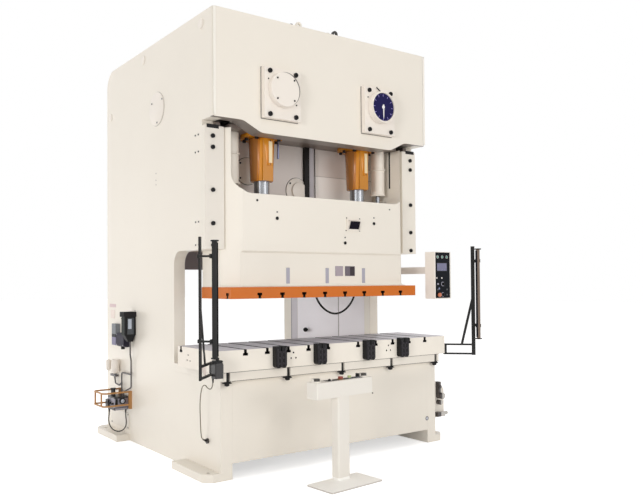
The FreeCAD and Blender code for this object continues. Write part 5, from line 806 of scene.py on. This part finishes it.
def screws(name, places, facing, radius, height, finish=black, body="frame", socket=0.5):
    """Cap screws of one size, in millimetres, with the socket's share of the head."""
    values = {"Head Radius": radius / 1000, "Head Height": height / 1000, "Socket Share": socket,
              "Facing": tuple(float(value) for value in facing)}
    return grown(name, SCREWS, values, finish, body, places)


# ------------------------------ cords


def hanging_line(name, route, diameter, finish, body):
    """A cord along its route: a smooth curve with the route's points as control points."""
    curve = bpy.data.curves.new(name, "CURVE")
    curve.dimensions = "3D"
    curve.bevel_depth = diameter / 2000
    curve.bevel_resolution = 4
    curve.resolution_u = 8
    curve.use_fill_caps = True
    spline = curve.splines.new("NURBS")
    spline.points.add(len(route) - 1)
    for point, place in zip(spline.points, route):
        point.co = (*mm(*place), 1)
    spline.order_u = 3
    spline.use_endpoint_u = True
    curve.materials.append(finish)
    return carried(new_item(name, curve), body)


def cord_sleeve(name, place, along, radius, body, length=34):
    """Tapered sleeve that eases a cord out of its housing."""
    profile = [(0, 0), (radius * 2.1, 0), (radius * 2.1, length * 0.2), (radius * 1.75, length * 0.24)]
    profile += [(radius * (1.7 - 0.55 * k / 4), length * (0.3 + 0.7 * k / 4)) for k in range(5)]
    profile.append((0, length))
    return turned(name, profile, [place], along, black_plastic, body, sides=20)


SLIDE_HOSE_ROUTE = (
    (196, -524, 1440), (197, -524, 1380), (220, -524, 1306), (278, -524, 1236), (354, -524, 1188),
    (438, -524, 1168), (524, -524, 1188), (598, -524, 1236), (654, -524, 1306), (681, -524, 1380),
    (684, -524, 1440),
)
CURTAIN_CABLE_ROUTE = (
    (-1250, -1221, 783), (-1250, -1221, 733), (-1248, -1185, 697), (-1244, -1130, 700), (-1238, -1075, 722),
    (-1234, -1022, 696), (-1232, -994, 622), (-1231, -984, 545), (-1230, -988, 468), (-1226, -984, 398),
    (-1214, -968, 338), (-1194, -942, 292), (-1152, -924, 274),
)
VALVE_HOSE_ROUTE = (
    (-1156, 636, 292), (-1156, 636, 232), (-1150, 634, 176), (-1153, 642, 124), (-1174, 666, 88),
    (-1207, 702, 76), (-1242, 744, 92), (-1262, 774, 136), (-1266, 784, 188), (-1261, 778, 240),
    (-1261, 778, 292),
)


def cords():
    """The hose behind the slide, the light curtain's cable and the valve unit's hose."""
    for name, route, diameter, finish, body, length in (
            ("slide_hose", SLIDE_HOSE_ROUTE, 18, rubber, "slide", 0.80),
            ("curtain_cable", CURTAIN_CABLE_ROUTE, 8, grey_cable, "frame", 0.73),
            ("valve_hose", VALVE_HOSE_ROUTE, 10, rubber, "frame", 0.53)):
        line = hanging_line(name + "_line", route, diameter, finish, body)
        sleeves = []
        for end, nearby in ((route[0], route[1]), (route[-1], route[-2])):
            along = Vector(nearby) - Vector(end)
            sleeve_name = "%s_sleeve_%d" % (name, len(sleeves) + 1)
            sleeves.append(cord_sleeve(sleeve_name, end, along, diameter / 2, body))
        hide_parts(name)


# ------------------------------ shared places, in millimetres


CRANK_X, CRANK_Z = 520, 3000  # the crank covers' centres; the plungers stand at the same x
SIDE_X = 1127  # outer faces of the side frames
COLUMN_X = 1027  # inner face of the right column
CROWN_Y, COVER_Y, CAP_Y = -1020, -1070, -1115  # front faces of the crown, its covers and the round cap
SLIDE_Y, WINDOW_Y = -975, -960  # front faces of the slide and of its window's back
WALL_Y = -520  # front face of the bearing wall
APRON_Y = -1112
PUMP_X, VALVE_X = -1237, -1275  # left faces of the pump's tank and of the valve box
PANEL_Y = -1017  # face of the operator panel
STAND_TOP = 744
BOTH_SIDES = (("left", -1), ("right", 1))


# ------------------------------ crown front


def crank_cover_screws():
    """Small screws on the round cap and the plugs beside the square covers."""
    reach = 115 / math.sqrt(2)
    places = [(-CRANK_X + a * reach, CAP_Y, CRANK_Z + b * reach) for a in (-1, 1) for b in (-1, 1)]
    screws("round_cap_screws", places, FRONT, 7, 5, socket=0.45)
    plugs = [(-658, COVER_Y, 3076), (-388, COVER_Y, 2899), (380, COVER_Y, 3079)]
    screws("cover_plate_plugs", plugs, FRONT, 6, 2.5, socket=0.6)
    stick = [(0, 0), (4, 0), (4.5, 3), (4.5, 58), (3.5, 62), (0, 62)]
    turned("cover_plate_stick", stick, [(524, -1078, 3142)], (-52, 0, 36), black, sides=16)


def crank_angle_dial():
    """Blue scale of the crank angle, its marks and its hub."""
    scale = [(0, 0), (124, 0), (124, 0.8), (123.2, 1.4), (0, 1.4)]
    turned("dial_scale", scale, [(CRANK_X, -1111, CRANK_Z)], FRONT, navy, sides=96)
    centre = tuple(mm(CRANK_X, -1112.8, CRANK_Z))
    for name, count, radius, size in (("dial_marks", 12, 0.104, (0.020, 0.0045, 0.0008)),
                                      ("dial_fine_marks", 60, 0.117, (0.005, 0.0012, 0.0008))):
        values = {"Count": count, "Ring Radius": radius, "Mark Size": size, "Centre": centre}
        grown(name, MARKS, values, violet_mark)
    bezel = ring(124, 133, 3.2, 1.2)
    turned("dial_bezel", bezel, [(CRANK_X, -1121.5, CRANK_Z)], FRONT, cream_plate, sides=96)
    turned("dial_hub", dome(15, 7), [(CRANK_X, -1112.4, CRANK_Z)], FRONT, white_plastic, sides=40)


def round_covers():
    """Round covers on both sides and on the wall behind the plungers."""

    def cover(name, places, along, profile, sides):
        turned(name, profile, places, along, cream_plate, sides=sides)

    for name, side in BOTH_SIDES:
        x, along = side * SIDE_X, (side, 0, 0)
        cover(name + "_side_cover", [(x, -12.5, 2985)], along, disc(145.5, 8, 2.5), 96)
        cover(name + "_side_small_covers", [(x, -829, 3488), (x, 275, 3488)], along, disc(40, 8, 2), 56)
        cover(name + "_side_rear_cover", [(x, 1074, 3118)], along, disc(36, 8, 2), 56)
        turned(name + "_side_cover_gap", ring(145.5, 148.5, 1.2, 0.3), [(x, -12.5, 2985)], along, shade_grey,
               sides=96)
        places = [(x + side * 8, y, z) for y, z in ((75, 3046), (-134, 3049), (-31, 2863))]
        screws(name + "_side_cover_screws", places, along, 8, 3, finish=dark_grey)
    cover("left_wall_cover", [(-CRANK_X, WALL_Y, 2425)], FRONT, disc(116, 10, 3), 80)
    cover("middle_wall_cover", [(0, WALL_Y, 2290)], FRONT, disc(116, 9, 3), 80)
    cover("middle_wall_cap", [(16, WALL_Y - 9, 2290)], FRONT, disc(78, 20, 4), 72)
    centres = ((-CRANK_X, 2425), (0, 2290))
    turned("wall_cover_gaps", ring(116, 120, 2, 0.3), [(x, WALL_Y, z) for x, z in centres], FRONT, dark_grey,
           sides=80)
    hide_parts("round_covers")
    places = [(x + 100 * math.cos(a), WALL_Y - 10, z + 100 * math.sin(a))
              for x, z in centres for a in map(math.radians, (40, 140, 220, 320))]
    screws("wall_cover_screws", places, FRONT, 8, 5)


def crown_corner_highlights():
    """Pale strips at the crown's rounded front corners: painted highlight where the corners catch the light.
    """
    for name, side in BOTH_SIDES:
        x = (side * SIDE_X, side * 1102)
        front_plate("crown_corner_highlight_" + name, x, (2745, 3572), CROWN_Y, 1.6, highlight_and_bezel_pale, edge=1.2)


def gib_top_shades():
    """Black sheets over the front gibs, under the crown's lip: painted shade in the gaps there."""
    for name, side in BOTH_SIDES:
        x = (side * 1112, side * 1004)
        front_plate(name + "_gib_shade", x, (2670, 2700), -885, 1.6, black, edge=0.6)


def plate_gaps():
    """Thin gap lines round the square crank covers and the round cap; the covers' dark lines also stand for
    contact shade, and a dark crescent on the cap's right rim is a painted shadow.
    """
    # Dark sheets behind the covers: gap lines that also stand for contact shade
    for name, side in BOTH_SIDES:
        x = side * CRANK_X
        front_plate(name + "_cover_gap", (x - 181, x + 181), (2763, 3177), CROWN_Y, 1.5, gap_and_shade_grey, edge=0.4)
    gap = ring(138, 142, 1.6, 0.3)
    turned("round_cap_gap", gap, [(-CRANK_X, COVER_Y, CRANK_Z)], FRONT, cream_plate, sides=96)
    # Painted shadow: a crescent along the round cap's right rim, widest in its middle
    steps = 40
    outer, inner = [], []
    for k in range(steps + 1):
        turn = math.radians(-58 + 165 * k / steps)
        for edge, radius in ((outer, 137), (inner, 137 - 8.5 * math.sin(math.pi * k / steps))):
            edge.append((-CRANK_X + radius * math.cos(turn), CAP_Y, CRANK_Z + radius * math.sin(turn)))
    slab("round_cap_shadow", outer + inner[-2:0:-1], (0, -0.8, 0), gap_and_shade_grey, edge=0.2)


# ------------------------------ slide


def slide_front_screws():
    """Screws on the slide's face, large ones in its lower part and small ones above."""
    large = [(-520, SLIDE_Y, 1985), (520, SLIDE_Y, 1985), (187, SLIDE_Y, 1804)]
    small = [(-520, SLIDE_Y, 2036), (520, SLIDE_Y, 2036), (187, SLIDE_Y, 1851), (710, SLIDE_Y, 2120)]
    screws("slide_face_screws", large, FRONT, 14, 5, body="slide")
    screws("slide_face_small_screws", small, FRONT, 6.5, 3, finish=dark_grey, body="slide")
    screws("slide_corner_screw", [(-710, SLIDE_Y, 2120)], FRONT, 9, 4, body="slide")


def slide_display_face():
    """Glass of the slide's position display, tilted to the operator, in a raised frame."""
    glass = [(226, -1005, 1993), (338, -1005, 1993), (338, -980, 1922), (226, -980, 1922)]
    slab("display_glass", glass, (0, 4, 1.5), display_black, body="slide", edge=1.0)
    for index, x in enumerate((220, 338)):
        cheek = [(x, -986, 2000), (x, -1008, 1994), (x, -982, 1916), (x, -984, 1914)]
        slab("display_cheek_%d" % (index + 1), cheek, (6, 0, 0), cream_plate, body="slide", edge=0.8)
    roof = [(220, -986, 2000), (220, -1009, 1996), (220, -1006, 1993), (220, -984, 1992)]
    slab("display_roof", roof, (124, 0, 0), cream_plate, body="slide", edge=0.8)
    places = [(x, SLIDE_Y, z) for x, z in ((205, 2021), (353, 2019), (198, 1912), (351, 1913))]
    screws("display_screws", places, FRONT, 5, 3, body="slide")


def slide_blank_plates():
    """Plain plates in the slide's window."""
    for name, x, z, y, thick, finish, edge in (
            ("grey_plate_on_slide", (86, 172), (1519, 1604), WINDOW_Y, 3, blank_grey, 0.8),
            ("plum_plate_on_slide", (195, 305), (1519, 1604), WINDOW_Y, 3, blank_plum, 0.8),
            ("dark_plate_on_slide", (250, 301), (1523, 1600), WINDOW_Y - 3, 1.2, plate_dark, 0.4)):
        front_plate(name, x, z, y, thick, finish, body="slide", edge=edge)


def knock_out_slot_shades():
    """Grey sheets at the bottom of the slide's knock-out slots: painted shade in the slots."""
    for index, x in enumerate((-406, 0, 406)):
        front_plate("knock_out_bar_%d" % (index + 1), (x - 18, x + 18), (1447, 1586), -958, 3.5, slot_shade_grey,
                    body="slide", edge=0.8)


def wing_dark_strips():
    """Dark edge of the liner on the slide's right wing."""
    for index, z in enumerate(((2212, 2298), (2346, 2690))):
        side_plate("wing_liner_edge_%d" % (index + 1), (-778, -760), z, 907, 2, black, body="slide", edge=0.5)


# ------------------------------ plunger guides and bearing wall


def guide_housings():
    """Tapered housings round the plunger guides, with their oil sight strips and a stop rod."""
    profile = [(88, 0), (93, 0), (95, 3), (108, 344), (106, 350), (88, 350), (88, 0)]
    for name, x, (x0, x1) in (("left", -CRANK_X, (-520, -486)), ("right", CRANK_X, (518, 552))):
        turned(name + "_guide_housing", profile, [(x, -748, 2306)], UP, orange_housing, sides=72)
        front_plate(name + "_guide_boss", (x0 - 5, x1 + 5), (2431, 2644), -846, 12, orange_housing, edge=2.5)
        front_plate(name + "_guide_sight_glass", (x0, x1), (2452, 2630), -858, 3, sight_glass, edge=1.2)
        places = [((x0 + x1) / 2, -858, z) for z in (2637, 2442)]
        screws(name + "_guide_sight_screws", places, FRONT, 4.5, 3)
    turned("guide_stop_rod", [(0, 0), (8, 0), (9, 2), (9, 174), (8, 176), (0, 176)], [(-353, -748, 2514)], UP,
           rod_blue, sides=24)


def wall_seams():
    """Dark seam along the pale duct's right edge, and the wall's two level seams."""
    front_plate("duct_seam", (186, 192), (1800, 2688), -552, -10, black, edge=0.5)
    for index, z in enumerate((2440, 2110)):
        name = "wall_seam_%d" % (index + 1)
        front_plate(name, (200, 900), (z, z + 4), WALL_Y - 1, 1.2, shade_grey, edge=0.4)


# ------------------------------ left side


def side_frame_plates():
    """Blank plates on the left side frame and small fasteners on both."""
    side_plate("rose_plate", (949, 1108), (1233, 1267), -SIDE_X, 2.5, blank_rose, edge=0.7)
    side_plate("pale_plate", (975, 1082), (1125, 1207), -SIDE_X, 2.5, blank_pale, edge=0.7)
    pairs = [(y, z) for z in (2629, 2495, 1945, 1765) for y in (-780, -730)]
    dots = [(-SIDE_X, 10, z) for z in (2425, 2365, 2326)] + [(-SIDE_X, 480, 1216)]
    screws("side_frame_screws", [(-SIDE_X, y, z) for y, z in pairs], LEFT, 7, 4, finish=dark_grey)
    screws("side_frame_plugs", dots, LEFT, 6, 2, finish=shade_grey)
    screws("right_side_frame_screws", [(SIDE_X, y, z) for y, z in pairs], RIGHT, 7, 4)


def column_knob():
    """Dark knob on the inner face of the right column."""
    turns = [math.pi * k / 12 for k in range(2, 12)]
    ball = [(25 * math.sin(a), 28 - 25 * math.cos(a)) for a in turns]
    turned("column_knob", [(0, 0), (12, 0)] + ball + [(0, 53)], [(COLUMN_X, 719, 936)], LEFT, black)


def column_panels():
    """Strips and seams on the right column's inner face; the liners are painted lighter than their own colour
    as painted light, and the highlight strip is a painted highlight.
    """
    for name, y, finish in (
            ("rear_line", (1034, 1018), seam_violet), ("rear_liner", (905, 170), liner_pale),
            ("front_liner", (154, -252), liner_pale), ("grey_strip", (1018, 909), strip_grey),
            ("highlight_strip", (-256, -336), highlight_and_bezel_pale), ("seam", (166, 158), seam_violet)):
        side_plate("column_" + name, y, (812, 1740), COLUMN_X, 1.4, finish, edge=0.5)


def pump_details():
    """The lubrication pump's oil window with a painted reflection on it, the ribs of its lid and its small
    screws.
    """
    front_plate("pump_window", (-1214, -1150), (1000, 1150), 455, 2, glass_dark, edge=1.2)
    # Painted reflection on the oil window
    front_plate("pump_window_glint", (-1206, -1172), (1050, 1140), 453, 1, glass_pale, edge=0.6)
    for index, (x, z) in enumerate((((-1218, -1146), (1150, 1156)), ((-1218, -1146), (994, 1000)),
                                    ((-1220, -1214), (994, 1156)), ((-1150, -1144), (994, 1156)))):
        name = "pump_window_frame_%d" % (index + 1)
        casing(name, [span(x, (451, 455), z)], black_plastic, edge=0.8, segments=2)
    ribs = {"Count": 9, "First": tuple(mm(-1247.4, 460, 1182)), "Pitch": (0, 0.0097, 0),
            "Slat Size": (0.0016, 0.004, 0.034)}
    grown("pump_lid_ribs", SLATS, ribs, black_plastic)
    for name, x, y, z, radius, height, finish in (
            ("pump_tank", PUMP_X, (462, 536), (1010, 1142), 4, 2.5, black),
            ("distributor", -1199, (596, 749), (890, 984), 5, 3, alloy),
            ("terminal_box", -1173, (852, 932), (890, 1065), 4.5, 2.5, alloy)):
        places = [(x, b, c) for c in z for b in y]
        screws(name + "_screws", places, LEFT, radius, height, finish=finish)


def valve_details():
    """Gauge face and small screws of the valve unit."""
    centre = [(-1204, 588, 376)]
    face = [(0, 0), (18, 0), (18, 0.8), (17.4, 1.2), (0, 1.2)]
    turned("gauge_face", face, centre, FRONT, glass_pale, sides=40)
    turned("gauge_bezel", ring(18, 28, 3.5, 0.8), centre, FRONT, black_plastic, sides=40)
    needle = [(-1205.2, 586.6, 368), (-1202.8, 586.6, 368), (-1194, 586.6, 388), (-1195, 586.6, 389)]
    slab("gauge_needle", needle, (0, -0.8, 0), black, edge=0.2)
    screws("valve_box_screws", [(VALVE_X, y, z) for y in (622, 716) for z in (326, 390)], LEFT, 4.5, 2.5,
           finish=alloy)
    screws("service_plate_screws", [(-1133, y, z) for y in (634, 1036) for z in (114, 236)], LEFT, 6, 3.5)


def air_filter():
    """Pale filter bowl above the valve unit and the small bowl behind it."""
    bowl = [(0, 0), (22, 0), (30, 6), (38, 22), (40, 40), (40, 112), (36, 118), (36, 128), (24, 134),
            (0, 134)]
    drain = [(0, 0), (9, 0), (12, 4), (12, 14), (8, 22), (0, 22)]
    small = [(0, 0), (12, 0), (20, 8), (24, 22), (24, 96), (20, 104), (0, 106)]
    turned("filter_bowl", bowl, [(-1168, 861, 604)], UP, cream_plate, sides=48)
    casing("filter_bracket", [((-1150, 838, 690), (-SIDE_X, 884, 734))], cream_plate)
    turned("filter_drain", drain, [(-1168, 861, 584)], UP, dark_grey, sides=24)
    turned("small_bowl", small, [(-1155, 1078, 610)], UP, cream_plate)
    casing("small_bowl_bracket", [((-1140, 1064, 660), (-SIDE_X, 1092, 690))], cream_plate, edge=2)


def valve_fittings():
    """Small fittings and plain plates on the valve unit."""
    turned("valve_fittings", [(0, 0), (11, 0), (11, 5), (8, 6), (8, 16), (6, 20), (0, 20)],
           [(VALVE_X, 640, 352), (VALVE_X, 700, 352)], LEFT, black, sides=20)
    front_plate("valve_face_line", (-1268, -1244), (330, 398), 610, 2.5, black_plastic, edge=0.6)
    front_plate("valve_face_plate", (-1172, -1146), (326, 396), 610, 2, blank_grey, edge=0.6)


def rear_lower_plate():
    """Plate between the side frames under the crown's back, in a darker grey that is partly painted shade."""
    front_plate("rear_lower_plate", (-COLUMN_X, COLUMN_X), (1610, 1800), 1140, -16, rear_grey, edge=3)
    places = [(x, 1156, z) for x in range(-980, 981, 196) for z in (1636, 1774)]
    screws("rear_plate_screws", places, BACK, 8, 5)


# ------------------------------ table, bolster and light curtains


def table_shadow_lines():
    """Thin dark lines over and under the table's front edge, at its joints: painted shadow under the bolster
    and under the table's overhang.
    """
    spans = ((-1126, -1104), (-1076, -559), (-531, -14), (14, 531), (559, 1076), (1104, 1126))
    for name, z in (("upper", (802, 806)), ("lower", (736.5, 740))):
        for index, x in enumerate(spans):
            front_plate("table_%s_seam_%d" % (name, index + 1), x, z, -1162, 0.8, gap_and_shade_grey, edge=0.3)


def bolt_washers():
    """Wide flat washers under the bolster's hold-down nuts."""
    places = [(x, -1142, 727.5) for x in (-1090, -545, 0, 545, 1090)]
    turned("bolster_bolt_washers", ring(26, 37, 5, 1), places, DOWN, black, sides=40)


def bracket_details():
    """Rails, slot and screws on the front of each die arm bracket."""
    for index, x in enumerate((-650, -258, 258, 650)):
        rails = [((x - 40, -1222, 822), (x - 30, -1217, 960)), ((x + 30, -1222, 822), (x + 40, -1217, 960)),
                 ((x - 5, -1221, 818), (x + 5, -1217, 940))]
        casing("bracket_rails_%d" % (index + 1), rails, bracket_grey, edge=1.2, segments=2)
        places = [(x + a, -1218, z) for a in (-18, 18) for z in (846, 890, 934)]
        screws("bracket_screws_%d" % (index + 1), places, FRONT, 8, 5, finish=bracket_grey)


def curtain_details():
    """Lens strip and end caps of both light curtains."""
    for name, side in BOTH_SIDES:
        body = name + "_curtain"
        side_plate(body + "_lens", (-1449, -1429), (962, 1744), side * 1332, side * 1.5, panel_black,
                   body=body, edge=0.4)
        x = sorted((side * 1331.5, side * 1374.5))
        for index, z in enumerate((945, 1753)):
            box = span(x, (-1460.5, -1417.5), (z - 1, z + 9))
            casing("%s_end_cap_%d" % (body, index + 1), [box], black_plastic, body=body, edge=1.5)


def bolster_details():
    """Round hole in the bolster's end, the blank plate by the left light curtain and the apron's plug."""
    turned("end_hole_rim", ring(9, 12, 2.0, 0.5), [(-1200, -611, 937)], LEFT, black, sides=28)
    slab("bracket_blank_plate", [(-1353, -1220, 871), (-1306, -1220, 790), (-1305, -1220, 868)], (0, -2, 0),
         blank_pale, body="left_curtain", edge=0.5)
    screws("apron_screw", [(364, APRON_Y, 513)], FRONT, 6, 3)
    turned("apron_plug_rim", ring(13, 19, 3, 0.8), [(1020, APRON_Y, 222)], FRONT, dark_grey)
    turned("apron_plug", disc(13, 2.5, 0.8), [(1020, APRON_Y, 222)], FRONT, alloy)


def wiring_details():
    """Lid and gland of the junction box."""
    lid = ((-1259, -1278, 893), (-1197, -1212, 912))
    casing("junction_box_lid", [lid], black_plastic, edge=5, segments=4)
    turned("junction_box_gland", [(0, 0), (13, 0), (13, 8), (11, 10), (11, 16), (8, 22), (0, 22)],
           [(-1228, -1245, 912)], UP, black_plastic, sides=24)


# ------------------------------ operator panel


def panel_details():
    """Lamps, screen and small buttons on the panel's face."""
    def on_face(name, profile, places, finish, sides):
        turned("panel_" + name, profile, [(x, PANEL_Y, z) for x, z in places], FRONT, finish, "panel", sides)

    lamps = [(1281, 1699), (1343, 1699), (1405, 1699)]
    on_face("lamps", dome(11, 3), lamps, lamp_teal, 28)
    on_face("lamp_rims", ring(11, 14, 2.5, 0.6), lamps, grey, 28)
    front_plate("panel_screen", (1272, 1404), (1568, 1639), PANEL_Y, 1.4, screen_lit, body="panel", edge=0.4)
    bars = [span(x, (-1019.6, PANEL_Y), z) for x, z in (
        ((1266, 1410), (1561, 1568)), ((1266, 1410), (1639, 1646)),
        ((1266, 1272), (1568, 1639)), ((1404, 1410), (1568, 1639)))]
    casing("panel_screen_frame", bars, black_plastic, body="panel", edge=0.6, segments=2)
    on_face("small_buttons", disc(8, 2.6, 0.8), [(1268, 1499), (1336, 1499)], grey, 24)
    on_face("pale_knob", [(0, 0), (9, 0), (9, 2), (7, 3), (7, 8), (0, 8)], [(1281, 1442)], knob_grey, 28)
    on_face("selector_rings", ring(15.5, 21, 2.8, 0.8), [(1348, 1442), (1348, 1342)], knob_grey, 36)
    on_face("blue_button", disc(10, 2.6, 0.8), [(1300, 1400)], rod_blue, 28)
    front_plate("panel_right_bezel", (1446, 1456.5), (1306, 1744), -1019.5, 1.2, highlight_and_bezel_pale, body="panel",
                edge=0.5)
    on_face("faint_buttons", disc(9, 2.4, 0.8), [(1281, 1390), (1405, 1390), (1405, 1340)], dark_grey, 24)


# ------------------------------ control stand


STAND_FOOT = (-383, -1597)
STAND_TURN = math.radians(5)


def on_stand(along, back=0):
    """A place on top of the stand's button box, from its column along the box and towards its back."""
    c, s = math.cos(STAND_TURN), math.sin(STAND_TURN)
    return (STAND_FOOT[0] + along * c - back * s, STAND_FOOT[1] + along * s + back * c, STAND_TOP)


def stand_details():
    """Collars, rings and a plain plate on the two-hand control stand."""
    collar = [(27.5, 0), (33, 0), (34, 2), (34, 7), (32, 9), (27.5, 9), (27.5, 0)]
    for name, profile, places, finish, sides in (
            ("palm_collars", collar, (-241, 241), cream_plate, 44),
            ("stop_button_ring", ring(20.5, 25, 4), (2,), orange_guard, 36),
            ("start_button_ring", ring(15.5, 19, 4), (94,), alloy, 32),
            ("selector_ring", ring(12, 18, 4), (180,), alloy, 32),
            ("stand_lamp", dome(11, 14), (-110,), black_plastic, 28)):
        turned(name, profile, [on_stand(along) for along in places], UP, finish, sides=sides)
    plate = [on_stand(-150, -30), on_stand(212, -30), on_stand(212, 30), on_stand(-150, 30)]
    slab("stand_blank_plate", plate, (0, 0, 1.2), black_satin, edge=0.4)


for make in (
        cords, crank_cover_screws, crank_angle_dial, round_covers, crown_corner_highlights, gib_top_shades,
        plate_gaps, slide_front_screws, slide_display_face, slide_blank_plates, guide_housings, wall_seams,
        air_filter, valve_fittings, rear_lower_plate, bracket_details, wing_dark_strips, side_frame_plates,
        column_knob, column_panels, pump_details, valve_details, curtain_details, bolster_details,
        wiring_details, panel_details, stand_details, knock_out_slot_shades, bolt_washers, table_shadow_lines):
    make()


# ------------------------------ light and floor


FLOOR_LEVEL = -0.001  # in metres, just under the press's feet
FLOOR_GLOW = 0.56
WORLD_FILL = 0.49
LAMP_WHITE = (1, 0.99, 0.985)
LAMPS = (  # name, place, target, size, watts, whether gloss mirrors it
    ("key", (-0.8, -10.0, 5.6), (0, -0.5, 1.5), (3, 2), 104, True),
    ("left_front", (-17.6, -10.4, 3.2), (0, -0.2, 1.4), (5, 4), 315, True),
    ("left_low", (-13.0, -7.4, 1.9), (1.0, 0.4, 1.1), (3, 1.6), 400, False),
    ("rear_fill", (-4.5, 9.0, 2.2), (0.8, 0.3, 1.1), (4, 3), 330, False),
    ("overhead", (0, -1.0, 9.5), (0, -0.6, 1.0), (6, 6), 210, False),
    ("right_side", (15.0, 3.0, 3.0), (0, 0, 1.5), (5, 4), 240, False),
    ("right_front", (3.0, -10.0, 3.0), (0.4, -0.8, 1.7), (4, 3), 120, True),
)


def area_light(name, place, target, size, power, mirrored):
    """Soft studio lamp that faces a target; sizes and places in metres."""
    data = bpy.data.lights.new(name, "AREA")
    data.shape = "RECTANGLE"
    data.size, data.size_y = size
    data.energy = power
    data.color = LAMP_WHITE
    lamp = new_item(name, data)
    lamp.visible_glossy = mirrored
    lamp.location = place
    lamp.rotation_euler = (Vector(target) - Vector(place)).to_track_quat("-Z", "Y").to_euler()


def seen_directly(tree):
    """1 for a ray from the camera, or one mirrored or let through by a piece."""
    path = add(tree, "ShaderNodeLightPath").outputs
    mirrored = maths(tree, "MAXIMUM", path["Is Camera Ray"], path["Is Glossy Ray"])
    return maths(tree, "MAXIMUM", mirrored, path["Is Transmission Ray"])


def white_floor():
    """Floor that looks white where it is open and keeps the press's shadow."""
    mesh = bpy.data.meshes.new("studio_floor")
    corners = [(x, y, FLOOR_LEVEL) for x, y in ((-40, -40), (40, -40), (40, 60), (-40, 60))]
    mesh.from_pydata(corners, [], [(0, 1, 2, 3)])
    material = bpy.data.materials.new("white_floor")
    material.use_nodes = True
    tree = material.node_tree
    feed(tree.nodes["Principled BSDF"], {
        "Base Color": (0.9, 0.9, 0.9, 1), "Roughness": 0.9, "Emission Color": (1, 1, 1, 1),
        "Emission Strength": maths(tree, "MULTIPLY", seen_directly(tree), FLOOR_GLOW)})
    mesh.materials.append(material)
    new_item("studio_floor", mesh)


def pale_world():
    """World that looks white and lights the press softly."""
    world = bpy.data.worlds.new("studio")
    scene.world = world
    world.use_nodes = True
    tree = world.node_tree
    tree.nodes.clear()
    fill = add(tree, "ShaderNodeBackground", {"Color": (1, 0.99, 0.98, 1), "Strength": WORLD_FILL})
    seen = add(tree, "ShaderNodeBackground", {"Color": (1, 1, 1, 1), "Strength": 1})
    mix = add(tree, "ShaderNodeMixShader", {0: seen_directly(tree), 1: fill.outputs[0], 2: seen.outputs[0]})
    add(tree, "ShaderNodeOutputWorld", {"Surface": mix.outputs[0]})


pale_world()
white_floor()
for lamp in LAMPS:
    area_light(*lamp)
scene.view_settings.view_transform = "Standard"
